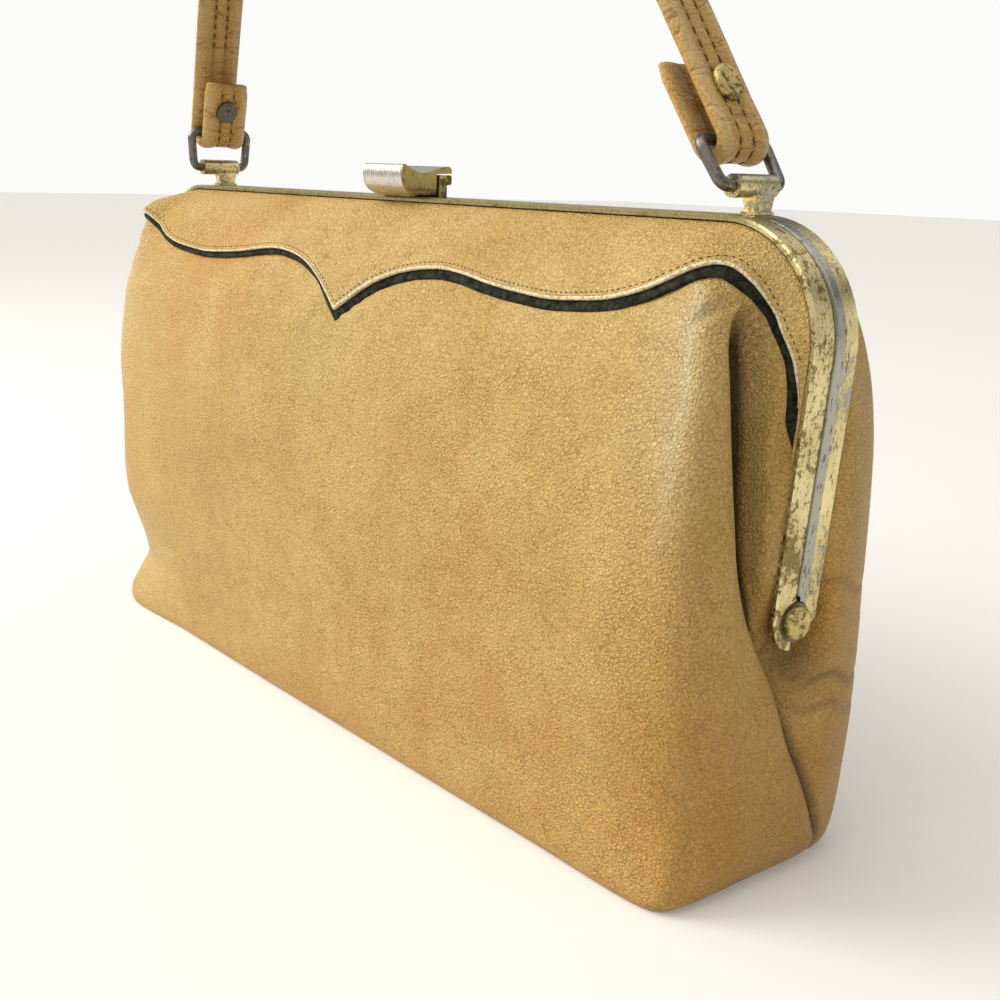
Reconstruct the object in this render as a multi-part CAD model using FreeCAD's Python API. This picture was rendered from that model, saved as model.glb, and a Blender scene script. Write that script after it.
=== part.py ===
import FreeCAD, Part
import math
import os

# Kiss lock frame purse, in millimetres. +X runs to the right along the frame, +Y to the back, +Z up.
# The origin is the middle of the base, on the surface that the bag stands on.

# Frame outline, seen from the front
frame_top = 150.0
hinge_height = 64.5
hinge_half_span = 141.0
leg_flare = 4.5
corner_radius = 26.0

# Rails: each half is a folded sheet channel whose mouth takes the leather
front_rail_width = 6.5
back_rail_width = 8.0
rail_sheet = 1.2
rail_mouth = 3.2
rail_lip = 1.0
rail_lip_share = 0.5
rail_inner_end = 9.0
rail_edge_break = 0.45
seam_half_gap = 0.15
seam_round = 1.0

# Hinge: the two ears lap under one rivet at the foot of each leg
ear_radius = 4.4
ear_gap = 0.1
ear_clearance = 0.35
back_leg_drop = 3.2
relief_radius = 1.3
rivet_shank_radius = 1.6
rivet_running_gap = 0.05
rivet_head_radius = 3.9
rivet_head_height = 1.7
rivet_tail_radius = 2.7
rivet_tail_height = 1.2
washer_radius = 4.4
washer_thickness = 0.45
washer_gap = 0.05

# Leather and lining plies
leather = 0.9
lining = 0.5
ply_gap = 0.1
mouth_clearance = 0.3
panel_seam_gap = 1.8
mouth_setback = 0.2
belly_depth = 32.0
lap_clearance = 0.4
rim_drop = 7.5
rim_lap = 2.5
hinge_notch = 9.0
tab_width = 7.0
tab_thickness = 1.7
tab_rise = 5.5
tab_root_height = 11.0
tab_root_length = 5.0
board_thickness = 2.0
board_margin = 4.0
board_corner_radius = 9.0

# Scalloped yoke and the piping strip below its edge
piping_width = 2.4
piping_thickness = 0.6

# Clasp: a thumb tab on the front half closes over a nub on the back half
clasp_length = 18.6
clasp_front_reach = 12.0
clasp_back_reach = 4.8
clasp_rise = 8.6
clasp_foot_setback = 0.4
clasp_corner_radius = 2.6
nub_start = 0.6
nub_stem = 2.6
nub_rise = 6.0
nub_undercut = 3.4
nub_round = 0.5
clasp_rivet_radius = 1.0
clasp_rivet_spacing = 10.0
clasp_rivet_depth = 1.6
clasp_rivet_gap = 0.02

# Handle posts and rings: a post stands at each end of the straight top rail
post_stem_y = 3.6
barrel_y = 1.2
barrel_height = 6.0
barrel_length = 13.0
barrel_radius = 2.5
stem_top_length = 6.8
stem_top_width = 3.6
stem_foot_length = 5.6
stem_foot_width = 2.8
foot_thickness = 0.7
foot_border = 0.5
ring_wire = 2.75
ring_running_gap = 0.09
ring_length = 11.7
ring_low_half_width = 9.6
ring_high_half_width = 10.6
ring_bend_radius = 2.4
left_ring_lean = 3.0
right_ring_lean = -36.0

# Handle strap
strap_width = 15.6
strap_thickness = 3.0
strap_lean = 29.0
strap_straight = 45.0
strap_loop_clearance = 0.75
strap_edge_round = 1.2
strap_forward_share = 0.19
strap_forward_drop = 2.6
arch_pieces = 6
flap_length = 17.0
strap_rivet_height = 10.5
cap_radius = 4.2
cap_height = 1.3
cap_shank_radius = 1.4
post_ring_radius = 3.7
post_ring_height = 0.9
post_dimple_radius = 2.0

# One overrun for every cut that has to pass through a face
overrun = 2.0

# Front and back panels, from the lap in the lower body up to the rail. Each row holds a height, how far the
# leather bulges from the rail towards the belly, how far the end fold stands in from the rail, and how deep
# the valley between fold and rail is.
panel_height_shares = (0.0, 0.33, 0.495, 0.65, 0.74, 0.8, 0.855, 0.905, 0.945, 0.975, 0.9925, 1.0)
panel_bulge_shares = (1.0, 1.0, 0.95, 0.86, 0.755, 0.655, 0.545, 0.43, 0.305, 0.185, 0.09, 0.02)
panel_fold_shares = (0.0, 0.06, 0.15, 0.285, 0.4, 0.455, 0.475, 0.45, 0.4, 0.33, 0.2, 0.09)
panel_valley_shares = (0.01, 0.1, 0.11, 0.07, 0.035, 0.01, -0.01, -0.025, -0.03, -0.02, -0.01, -0.005)
fold_radius_share = 0.5

# Lower body, from the base up to the rim: height, length, depth and the valley pressed into each end
body_height_shares = (0.0, 0.025, 0.09, 0.28, 0.6, 0.84, 1.0)
body_length_shares = (0.958, 0.978, 0.992, 1.003, 1.004, 1.0, 1.0)
body_depth_shares = (0.935, 0.97, 0.992, 1.008, 1.012, 1.0, 1.0)
body_valley_shares = (0.01, 0.02, 0.05, 0.12, 0.13, 0.012, 0.01)

# Yoke edge from the middle point out to the leg: distance along the frame and drop below the frame's top
yoke_reach_shares = (0.0, 0.12, 0.275, 0.45, 0.635, 0.78, 0.88, 0.947, 0.99, 1.012)
yoke_drop_shares = (0.211, 0.145, 0.11, 0.124, 0.145, 0.105, 0.067, 0.123, 0.2, 0.32)

# Clasp tab's end profile: reach from its front end to its back end, and rise above the rail
tab_belly_shares = (0.165, 0.09)
tab_chin_shares = (0.03, 0.33)
tab_face_shares = (-0.015, 0.65)
tab_brow_shares = (0.01, 0.93)
tab_horn_shares = (0.04, 1.0)
tab_crest_shares = (0.09, 0.975)
tab_top_reach_shares = (0.09, 0.2, 0.36, 0.6, 0.9)
tab_top_rise_shares = (0.975, 0.86, 0.75, 0.81, 0.96)
tab_tail_shares = (0.97, 0.94)
tab_end_shares = (1.0, 0.87)
tab_lip_shares = (1.0, 0.75)
tab_throat_share = 0.72
clasp_foot_share = 0.357

# Values that follow from the sizes above
lean = math.atan2(leg_flare, frame_top - corner_radius - hinge_height)
corner_height = frame_top - corner_radius
corner_x = hinge_half_span + leg_flare - corner_radius / math.cos(lean)
leather_inset = rail_sheet + mouth_clearance
fold_half_span = hinge_half_span - leather_inset
rim_height = hinge_height - rim_drop
panel_bottom = rim_height - rim_lap
panel_top = frame_top - leather_inset
lip_inset = rail_sheet + rail_mouth
inner_end = hinge_height + rail_inner_end
front_ear_x = hinge_half_span - rail_sheet
back_ear_x = front_ear_x - ear_gap - rail_sheet
tab_x = back_ear_x - ear_gap - tab_thickness
post_x = corner_x
barrel_z = frame_top + barrel_height
body_fold_radius = fold_radius_share * (belly_depth - front_rail_width + mouth_setback)

X_AXIS = FreeCAD.Vector(1, 0, 0)
Y_AXIS = FreeCAD.Vector(0, 1, 0)
Z_AXIS = FreeCAD.Vector(0, 0, 1)


def vec(x, y, z):
    return FreeCAD.Vector(x, y, z)


def line(start, end):
    return Part.LineSegment(start, end).toShape()


def arc(start, middle, end):
    return Part.Arc(start, middle, end).toShape()


def spline(points):
    curve = Part.BSplineCurve()
    curve.interpolate(points)
    return curve.toShape()


def prism(edges, direction):
    return Part.Face(Part.Wire(edges)).extrude(direction)


def box(x_low, x_high, y_low, y_high, z_low, z_high):
    return Part.makeBox(x_high - x_low, y_high - y_low, z_high - z_low, vec(x_low, y_low, z_low))


def both_ends(shape):
    """The shape at the right end and its mirror image at the left end."""
    return [shape, shape.mirror(vec(0, 0, 0), X_AXIS)]


def fuse_all(shapes):
    return shapes[0].multiFuse(shapes[1:]).removeSplitter()


def outline_x(height, inset):
    """Half width of the frame outline at a height, moved inward by an inset."""
    radius = corner_radius - inset
    rise = height - corner_height
    if rise > -radius * math.sin(lean):
        return corner_x + math.sqrt(max(radius * radius - rise * rise, 0))
    return hinge_half_span + (height - hinge_height) * math.tan(lean) - inset / math.cos(lean)


def outline_edges(inset, bottom, y):
    """Frame outline from the foot of the right leg over the top to the foot of the left leg."""
    radius = corner_radius - inset
    middle = (math.pi / 2 - lean) / 2
    foot = vec(outline_x(bottom, inset), y, bottom)
    shoulder = vec(corner_x + radius * math.cos(lean), y, corner_height - radius * math.sin(lean))
    bend = vec(corner_x + radius * math.cos(middle), y, corner_height + radius * math.sin(middle))
    crown = vec(corner_x, y, frame_top - inset)
    points = [foot, shoulder, bend, crown]
    mirrored = [vec(-p.x, p.y, p.z) for p in points]
    return [
        line(foot, shoulder),
        arc(shoulder, bend, crown),
        line(crown, mirrored[3]),
        arc(mirrored[3], mirrored[2], mirrored[1]),
        line(mirrored[1], mirrored[0]),
    ]


def rail_band(outer_inset, inner_inset, bottom, y_low, y_high):
    """Strip of sheet that follows the frame between two insets, as wide in Y as the rail."""
    outer = outline_edges(outer_inset, bottom, y_low)
    inner = outline_edges(inner_inset, bottom, y_low)
    right_foot = line(inner[0].Vertexes[0].Point, outer[0].Vertexes[0].Point)
    left_foot = line(outer[4].Vertexes[-1].Point, inner[4].Vertexes[-1].Point)
    edges = Part.__sortEdges__(outer + [left_foot] + inner + [right_foot])
    return prism(edges, vec(0, y_high - y_low, 0))


def outer_edges_at(shape, y):
    """Edges of a rail that lie on its outer face at one side."""
    found = []
    for edge in shape.Edges:
        point = edge.valueAt((edge.FirstParameter + edge.LastParameter) / 2)
        on_side = abs(point.y - y) < seam_half_gap / 2 and point.z > hinge_height + rail_inner_end
        on_top = abs(point.z - frame_top) < seam_half_gap / 2
        on_leg = point.z < frame_top and abs(abs(point.x) - outline_x(point.z, 0)) < seam_half_gap / 2
        if on_side and (on_top or on_leg):
            found.append(edge)
    return found


def axle(radius, x_low, x_high):
    """Round bar along X on the hinge line."""
    return Part.makeCylinder(radius, x_high - x_low, vec(x_low, 0, hinge_height), X_AXIS)


def clasp_rivet_places(y):
    return [vec(side * clasp_rivet_spacing / 2, y, frame_top) for side in (1, -1)]


def front_foot_middle():
    return -(front_rail_width + seam_half_gap) / 2


def nub_middle():
    return nub_start + nub_stem / 2


def with_rivet_holes(rail, y):
    for place in clasp_rivet_places(y):
        base = place - vec(0, 0, rail_sheet + mouth_clearance)
        depth = rail_sheet + mouth_clearance + overrun
        rail = rail.cut(Part.makeCylinder(clasp_rivet_radius + clasp_rivet_gap, depth, base))
    return rail


def front_frame():
    """Front rail: top sheet, seam web and inner lip, with a rounded ear at the foot of each leg."""
    sheet = rail_band(0, rail_sheet, hinge_height, -front_rail_width, -seam_half_gap)
    sheet = sheet.makeChamfer(rail_edge_break, outer_edges_at(sheet, -front_rail_width))
    web = rail_band(0, lip_inset + rail_lip, inner_end, -seam_half_gap - rail_sheet, -seam_half_gap)
    lip = rail_band(lip_inset, lip_inset + rail_lip, inner_end, -rail_lip_share * front_rail_width,
                    -seam_half_gap)
    ear = axle(ear_radius, front_ear_x, hinge_half_span)
    heel = Part.makeCylinder(front_rail_width, rail_sheet, vec(front_ear_x, 0, hinge_height), X_AXIS)
    quarter = box(front_ear_x, hinge_half_span, -front_rail_width, 0, hinge_height - front_rail_width,
                  hinge_height)
    rail = fuse_all([sheet, web, lip] + both_ends(ear) + both_ends(heel.common(quarter)))
    hole = axle(rivet_shank_radius + rivet_running_gap, tab_x, hinge_half_span + overrun)
    seat = axle(washer_radius + ear_clearance, hinge_half_span, hinge_half_span + overrun)
    for cutter in both_ends(hole) + both_ends(seat):
        rail = rail.cut(cutter)
    return with_rivet_holes(rail, front_foot_middle())


def back_frame():
    """Back rail: a wider sheet with a rounded seam edge, joggled inward to lap behind the front ears."""
    foot = hinge_height - back_leg_drop
    sheet = rail_band(0, rail_sheet, foot, seam_half_gap, back_rail_width)
    sheet = sheet.makeFillet(seam_round, outer_edges_at(sheet, seam_half_gap))
    sheet = sheet.makeChamfer(rail_edge_break, outer_edges_at(sheet, back_rail_width))
    ear_room = ear_radius + ear_clearance
    toe = foot + ear_clearance
    slant_points = [
        vec(back_ear_x, 0, foot - overrun),
        vec(back_ear_x, back_rail_width + overrun, foot - overrun),
        vec(back_ear_x, back_rail_width + overrun, hinge_height),
        vec(back_ear_x, back_rail_width, hinge_height),
        vec(back_ear_x, ear_room, toe),
        vec(back_ear_x, 0, toe),
    ]
    slant_edges = [line(a, b) for a, b in zip(slant_points, slant_points[1:] + slant_points[:1])]
    slant = prism(slant_edges, vec(rail_sheet + ear_gap + rail_sheet + overrun, 0, 0))
    relief_start = vec(front_ear_x - ear_gap, 0, hinge_height + ear_room)
    relief = Part.makeCylinder(relief_radius, rail_sheet + overrun, relief_start, X_AXIS)
    cutters = [axle(ear_room, front_ear_x - ear_gap, hinge_half_span + overrun), slant, relief]
    for cutter in cutters:
        for end in both_ends(cutter):
            sheet = sheet.cut(end)
    web = rail_band(0, lip_inset + rail_lip, inner_end, seam_half_gap, seam_half_gap + rail_sheet)
    web = web.makeFillet(seam_round, outer_edges_at(web, seam_half_gap))
    lip = rail_band(lip_inset, lip_inset + rail_lip, inner_end, seam_half_gap,
                    rail_lip_share * back_rail_width)
    ear = axle(ear_radius, back_ear_x, back_ear_x + rail_sheet)
    arm = box(back_ear_x, back_ear_x + rail_sheet, 0, back_rail_width, hinge_height, inner_end)
    joggle_x = front_ear_x + rail_sheet / 2
    joggle = box(back_ear_x, joggle_x, ear_room, back_rail_width, hinge_height, inner_end)
    rail = fuse_all([sheet, web, lip] + both_ends(ear) + both_ends(arm) + both_ends(joggle))
    hole = axle(rivet_shank_radius + rivet_running_gap, tab_x, hinge_half_span + overrun)
    for cutter in both_ends(hole):
        rail = rail.cut(cutter)
    return with_rivet_holes(rail, nub_middle())


def hinge_washer():
    start = hinge_half_span + washer_gap
    washer = axle(washer_radius, start, start + washer_thickness)
    return washer.cut(axle(rivet_shank_radius + rivet_running_gap, start - overrun, start + overrun))


def hinge_rivet():
    """Domed head outside, shank through both ears and the leather tab, peened tail inside."""
    seat = hinge_half_span + washer_gap + washer_thickness + washer_gap
    head = axle(rivet_head_radius, seat, seat + rivet_head_height)
    rim = [edge for edge in head.Edges if abs(edge.BoundBox.XMin - seat - rivet_head_height) < washer_gap]
    head = head.makeFillet(rivet_head_height * 2 / 3, rim[:1])
    tail_seat = tab_x - ply_gap
    shank = axle(rivet_shank_radius, tail_seat - rivet_tail_height / 2, seat + rivet_head_height / 2)
    tail = axle(rivet_tail_radius, tail_seat - rivet_tail_height, tail_seat)
    return fuse_all([head, shank, tail])


def panel_row(share, bulge, fold, valley, inset, side, rail_width, close_y, bottom, top):
    """Plan section of one panel at one height. side is -1 for the front and 1 for the back."""
    height = bottom + share * (top - bottom)
    mouth = rail_width - mouth_setback
    end_x = outline_x(max(height, hinge_height), leather_inset + inset)
    depth = mouth + bulge * (belly_depth - mouth) - inset
    mouth_y = mouth - inset
    radius = fold_radius_share * (depth - mouth_y)
    fold_x = end_x - fold * corner_radius
    bend = radius * math.sqrt(2) / 2
    valley_x = (end_x + fold_x) / 2 - valley * belly_depth
    valley_y = (mouth_y + depth - radius) / 2
    right = [
        vec(end_x, close_y, height),
        vec(end_x, side * mouth_y, height),
        vec(valley_x, side * valley_y, height),
        vec(fold_x, side * (depth - radius), height),
        vec(fold_x - radius + bend, side * (depth - radius + bend), height),
        vec(fold_x - radius, side * depth, height),
    ]
    left = [vec(-p.x, p.y, p.z) for p in right]
    return Part.Wire([
        line(right[0], right[1]),
        arc(right[1], right[2], right[3]),
        arc(right[3], right[4], right[5]),
        line(right[5], left[5]),
        arc(left[5], left[4], left[3]),
        arc(left[3], left[2], left[1]),
        line(left[1], left[0]),
        line(left[0], right[0]),
    ])


def panel_solid(inset, side, rail_width, close_y, below):
    """Everything between one panel's surface, moved inward by an inset, and a plane near the seam."""
    rows = list(zip(panel_height_shares, panel_bulge_shares, panel_fold_shares, panel_valley_shares))
    top = panel_top - inset
    wires = [panel_row(*row, inset, side, rail_width, close_y, panel_bottom, top) for row in rows]
    if below > 0:
        wires.insert(0, panel_row(*rows[0], inset, side, rail_width, close_y, panel_bottom - below, top))
    return Part.makeLoft(wires, True, True)


def panel_shell(outer_inset, thickness, side, rail_width):
    """One ply of a panel, open towards the seam and at the bottom, notched round the hinge."""
    close_y = side * panel_seam_gap
    outer = panel_solid(outer_inset, side, rail_width, close_y, 0)
    inner = panel_solid(outer_inset + thickness, side, rail_width, -side * overrun, overrun)
    shell = outer.cut(inner)
    notch = box(fold_half_span - hinge_notch, hinge_half_span + overrun, -hinge_notch, hinge_notch,
                panel_bottom - overrun, inner_end + mouth_clearance)
    for cutter in both_ends(notch):
        shell = shell.cut(cutter)
    return shell


def yoke_points(drop):
    """Points of the right half of the yoke's edge, moved square to the edge by a distance."""
    points = [
        vec(reach * hinge_half_span, 0, frame_top - fall * frame_top)
        for reach, fall in zip(yoke_reach_shares, yoke_drop_shares)
    ]
    if drop == 0:
        return points
    curve = Part.BSplineCurve()
    curve.interpolate(points)
    moved = []
    for point in points:
        tangent = curve.tangent(curve.parameter(point))[0]
        moved.append(point + vec(tangent.z, 0, -tangent.x) * drop)
    moved[0] = points[0] - vec(0, 0, drop / math.cos(math.pi / 4))
    return moved


def yoke_prism(drop):
    """Everything above the yoke's edge, seen from the front, as deep as the front panel."""
    right = yoke_points(drop)
    left = [vec(-p.x, p.y, p.z) for p in right]
    far = hinge_half_span + leg_flare + overrun
    high = frame_top + overrun
    corners = [vec(far, 0, right[-1].z), vec(far, 0, high), vec(-far, 0, high), vec(-far, 0, left[-1].z)]
    edges = [
        spline(right),
        line(right[-1], corners[0]),
        line(corners[0], corners[1]),
        line(corners[1], corners[2]),
        line(corners[2], corners[3]),
        line(corners[3], left[-1]),
        spline(left[::-1]),
    ]
    return prism(edges, vec(0, -belly_depth - overrun, 0))


def front_yoke():
    return panel_shell(0, leather, -1, front_rail_width).common(yoke_prism(0))


def front_piping():
    """Dark strip that shows below the yoke's edge."""
    ply = panel_shell(leather - piping_thickness, piping_thickness, -1, front_rail_width)
    return ply.common(yoke_prism(piping_width)).cut(yoke_prism(ply_gap))


def front_panel():
    return panel_shell(leather + ply_gap, leather, -1, front_rail_width)


def front_lining():
    return panel_shell(2 * (leather + ply_gap), lining, -1, front_rail_width)


def back_panel():
    return panel_shell(0, leather, 1, back_rail_width)


def back_lining():
    return panel_shell(leather + ply_gap, lining, 1, back_rail_width)


def body_row(share, length, depth, valley, offset, above):
    """Plan section of the lower body at one height, moved outward by an offset."""
    height = share * rim_height + above
    half_x = length * fold_half_span + offset
    half_y = depth * belly_depth + offset
    radius = body_fold_radius + offset
    bend = radius * math.sqrt(2) / 2
    end_y = half_y - radius
    corner = [
        vec(half_x, end_y, height),
        vec(half_x - radius + bend, end_y + bend, height),
        vec(half_x - radius, half_y, height),
    ]
    dent = vec(half_x - valley * belly_depth, 0, height)
    edges = []
    for sx, sy in ((1, 1), (-1, 1), (-1, -1), (1, -1)):
        points = [vec(sx * p.x, sy * p.y, p.z) for p in corner]
        edges.append(arc(*points))
    edges.append(line(vec(corner[2].x, half_y, height), vec(-corner[2].x, half_y, height)))
    edges.append(line(vec(-corner[2].x, -half_y, height), vec(corner[2].x, -half_y, height)))
    edges.append(arc(corner[0], dent, vec(half_x, -end_y, height)))
    edges.append(arc(vec(-half_x, end_y, height), vec(-dent.x, 0, height), vec(-half_x, -end_y, height)))
    return Part.Wire(Part.__sortEdges__(edges))


def body_solid(offset, floor, above):
    """Lower body filled from a floor to its rim, with a straight stretch above the rim for a cut."""
    rows = list(zip(body_height_shares, body_length_shares, body_depth_shares, body_valley_shares))
    wires = [body_row(*row, offset, 0) for row in rows]
    if above > 0:
        wires.append(body_row(*rows[-1], offset, above))
    solid = Part.makeLoft(wires, True, True)
    if floor > 0:
        far = hinge_half_span + overrun
        solid = solid.cut(box(-far, far, -far, far, -overrun, floor))
    return solid


def body_ply(inner_offset, thickness, floor):
    outer = body_solid(inner_offset + thickness, floor, 0)
    return outer.cut(body_solid(inner_offset, floor + thickness, overrun))


def hinge_tab():
    """Tongue of the end wall that rises inside the ears and is caught under the rivet's tail."""
    root_low = hinge_height - tab_rise - tab_root_height
    root_high = root_low + tab_root_length
    wall_x = fold_half_span + lap_clearance + lining + ply_gap + leather / 3
    root_x = wall_x - tab_thickness
    crown = hinge_height + tab_rise
    waist = hinge_height - tab_rise - tab_thickness
    front = -tab_width / 2
    points = [
        vec(root_x, front, root_low),
        vec(wall_x, front, root_low),
        vec(wall_x, front, root_high),
        vec(tab_x + tab_thickness, front, waist),
        vec(tab_x + tab_thickness, front, crown),
        vec(tab_x, front, crown),
        vec(tab_x, front, waist - tab_thickness),
        vec(root_x, front, root_high - tab_thickness),
    ]
    edges = [line(a, b) for a, b in zip(points, points[1:] + points[:1])]
    tab = prism(edges, vec(0, tab_width, 0))
    top = [edge for edge in tab.Edges if abs(edge.BoundBox.ZMin - crown) < ply_gap
           and edge.BoundBox.YLength < ply_gap]
    tab = tab.makeFillet(tab_width / 3, top)
    hole_radius = rivet_shank_radius + rivet_running_gap
    return tab.cut(axle(hole_radius, tab_x - overrun, tab_x + tab_thickness + overrun))


def lower_body():
    wall = body_ply(lap_clearance + lining + ply_gap, leather, 0)
    return fuse_all([wall] + both_ends(hinge_tab()))


def base_board_bottom():
    return leather + ply_gap


def lower_lining():
    bottom = base_board_bottom() + board_thickness + ply_gap
    ply = body_ply(lap_clearance, lining, bottom)
    room = tab_width / 2 + mouth_clearance
    slot = box(fold_half_span - tab_root_length, hinge_half_span + overrun, -room, room,
               hinge_height - tab_rise - tab_root_height - mouth_clearance, rim_height + overrun)
    for cutter in both_ends(slot):
        ply = ply.cut(cutter)
    return ply


def base_board():
    """Stiffener board between the base leather and the lining."""
    half_x = body_length_shares[0] * fold_half_span - board_margin
    half_y = body_depth_shares[0] * belly_depth - board_margin
    low = base_board_bottom()
    board = box(-half_x, half_x, -half_y, half_y, low, low + board_thickness)
    uprights = [edge for edge in board.Edges if edge.BoundBox.ZLength > board_thickness / 2]
    return board.makeFillet(board_corner_radius, uprights)


def clasp_point(shares, x):
    reach, rise = shares
    y = -clasp_front_reach + reach * (clasp_front_reach + clasp_back_reach)
    return vec(x, y, frame_top + rise * clasp_rise)


def clasp_outline():
    """Front view of the clasp, with rounded lower corners, as a prism along Y."""
    half = clasp_length / 2
    high = frame_top + clasp_rise + overrun
    block = box(-half, half, -clasp_front_reach - overrun, clasp_back_reach + overrun, frame_top, high)
    low_edges = [edge for edge in block.Edges if edge.BoundBox.YLength > clasp_length / 2
                 and edge.BoundBox.ZMax < frame_top + overrun]
    return block.makeFillet(clasp_corner_radius, low_edges)


def front_clasp_tab():
    """Thumb tab: a foot on the front rail, a curled front edge and a top that runs back over the nub."""
    x = -clasp_length / 2
    foot_front = clasp_point((clasp_foot_share, 0), x)
    foot_back = vec(x, -clasp_foot_setback, frame_top)
    throat = vec(x, -clasp_foot_setback, frame_top + tab_throat_share * clasp_rise)
    top_points = [clasp_point(shares, x) for shares in zip(tab_top_reach_shares, tab_top_rise_shares)]
    chin = clasp_point(tab_chin_shares, x)
    brow = clasp_point(tab_brow_shares, x)
    end = clasp_point(tab_end_shares, x)
    lip = clasp_point(tab_lip_shares, x)
    edges = [
        line(foot_back, foot_front),
        arc(foot_front, clasp_point(tab_belly_shares, x), chin),
        arc(chin, clasp_point(tab_face_shares, x), brow),
        arc(brow, clasp_point(tab_horn_shares, x), top_points[0]),
        spline(top_points),
        arc(top_points[-1], clasp_point(tab_tail_shares, x), end),
        line(end, lip),
        line(lip, throat),
        line(throat, foot_back),
    ]
    tab = prism(edges, vec(clasp_length, 0, 0)).common(clasp_outline())
    for place in clasp_rivet_places(front_foot_middle()):
        tab = tab.cut(Part.makeCylinder(clasp_rivet_radius + clasp_rivet_gap, clasp_rivet_depth, place))
    return tab


def back_clasp_nub():
    """Nub on the back rail that the tab's back edge closes over."""
    half = clasp_length / 2
    crown = frame_top + nub_rise
    stem = box(-half, half, nub_start, nub_start + nub_stem, frame_top, crown)
    head = box(-half, half, nub_start, clasp_back_reach, frame_top + nub_undercut, crown)
    nub = fuse_all([stem, head])
    long_edges = [edge for edge in nub.Edges if edge.BoundBox.XLength > half
                  and edge.BoundBox.ZMin > frame_top + nub_undercut / 2]
    nub = nub.makeFillet(nub_round, long_edges)
    for place in clasp_rivet_places(nub_middle()):
        nub = nub.cut(Part.makeCylinder(clasp_rivet_radius + clasp_rivet_gap, clasp_rivet_depth, place))
    return nub


def clasp_rivets(y):
    """Two pins that hold a clasp piece to its rail, peened flush inside the channel."""
    length = rail_sheet + clasp_rivet_depth - ply_gap
    pins = [Part.makeCylinder(clasp_rivet_radius, length, place - vec(0, 0, rail_sheet))
            for place in clasp_rivet_places(y)]
    return Part.makeCompound(pins)


def rectangle(length_x, length_y, centre):
    half_x = length_x / 2
    half_y = length_y / 2
    points = [centre + vec(sx * half_x, sy * half_y, 0) for sx, sy in ((1, 1), (-1, 1), (-1, -1), (1, -1))]
    return Part.Wire([line(a, b) for a, b in zip(points, points[1:] + points[:1])])


def handle_post(side):
    """Barrel along Y on a tapered stem, with a thin foot on the back rail."""
    x = side * post_x
    start = vec(x, barrel_y - barrel_length / 2, barrel_z)
    barrel = Part.makeCylinder(barrel_radius, barrel_length, start, Y_AXIS)
    foot_top = frame_top + foot_thickness
    stem = Part.makeLoft([
        rectangle(stem_foot_width, stem_foot_length, vec(x, post_stem_y, foot_top)),
        rectangle(stem_top_width, stem_top_length, vec(x, post_stem_y, barrel_z - barrel_radius / 2)),
    ], True, True)
    half_x = stem_foot_width / 2 + foot_border
    half_y = stem_foot_length / 2 + foot_border
    foot = box(x - half_x, x + half_x, post_stem_y - half_y, post_stem_y + half_y, frame_top, foot_top)
    bore = Part.makeCylinder(ring_wire / 2 + ring_running_gap, barrel_length + 2 * overrun,
                             start - vec(0, overrun, 0), Y_AXIS)
    return fuse_all([barrel, stem, foot]).cut(bore)


def rounded_loop(points, radius):
    """Closed wire of straight runs joined by tangent arcs of one radius."""
    count = len(points)
    corners = []
    for i, point in enumerate(points):
        before = (points[i - 1] - point).normalize()
        after = (points[(i + 1) % count] - point).normalize()
        half_turn = before.getAngle(after) / 2
        inward = (before + after).normalize()
        reach = radius / math.tan(half_turn)
        centre = point + inward * (radius / math.sin(half_turn))
        corners.append((point + before * reach, centre - inward * radius, point + after * reach))
    edges = []
    for i, corner in enumerate(corners):
        edges.append(arc(*corner))
        edges.append(line(corner[2], corners[(i + 1) % count][0]))
    return Part.Wire(edges)


def ring_place(side):
    """Turn and shift that put a ring, drawn upright at the origin, on its post."""
    turn = left_ring_lean if side < 0 else right_ring_lean
    return FreeCAD.Placement(vec(side * post_x, barrel_y, barrel_z), FreeCAD.Rotation(Y_AXIS, turn))


def handle_ring(side):
    """Bent wire ring: its lower bar turns in the barrel and its upper bar carries the strap."""
    path = rounded_loop([
        vec(0, -ring_low_half_width, 0),
        vec(0, ring_low_half_width, 0),
        vec(0, ring_high_half_width, ring_length),
        vec(0, -ring_high_half_width, ring_length),
    ], ring_bend_radius)
    section = Part.Wire(Part.Circle(vec(0, 0, 0), Y_AXIS, ring_wire / 2).toShape())
    run_length = 2 * (ring_low_half_width - ring_bend_radius) - overrun
    runs = [edge for edge in path.Edges if edge.Length > run_length]
    start = min(runs, key=lambda edge: edge.BoundBox.ZMax)
    section.translate(start.Vertexes[0].Point)
    ordered = Part.Wire(Part.__sortEdges__([start] + [e for e in path.Edges if not e.isSame(start)]))
    ring = ordered.makePipeShell([section], True, False)
    ring.Placement = ring_place(side)
    return ring


def bar_middle(side):
    return ring_place(side).multVec(vec(0, 0, ring_length))


def strap_place():
    """Chord between the two upper bars: the strap is drawn level about its middle and then put on it."""
    left = bar_middle(-1)
    right = bar_middle(1)
    tilt = -math.degrees(math.atan2(right.z - left.z, right.x - left.x))
    return FreeCAD.Placement((left + right) / 2, FreeCAD.Rotation(Y_AXIS, tilt))


def half_chord():
    return (bar_middle(1) - bar_middle(-1)).Length / 2


def leg_axes(side):
    """Direction up a strap leg and the direction out of its face, in the strap's own plane."""
    turn = math.radians(strap_lean)
    up = vec(-side * math.sin(turn), 0, math.cos(turn))
    out = vec(side * math.cos(turn), 0, math.sin(turn))
    return up, out


def strap_loop_radius():
    return ring_wire / 2 + strap_loop_clearance


def strap_side(side, radius, leg_length):
    """Points down one face of a leg, under the bar and up the flap, from the arch to the flap's end."""
    up, out = leg_axes(side)
    bar = vec(side * half_chord(), 0, 0)
    return [bar + out * radius + up * leg_length, bar + out * radius, bar - up * radius, bar - out * radius,
            bar - out * radius + up * flap_length]


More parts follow.
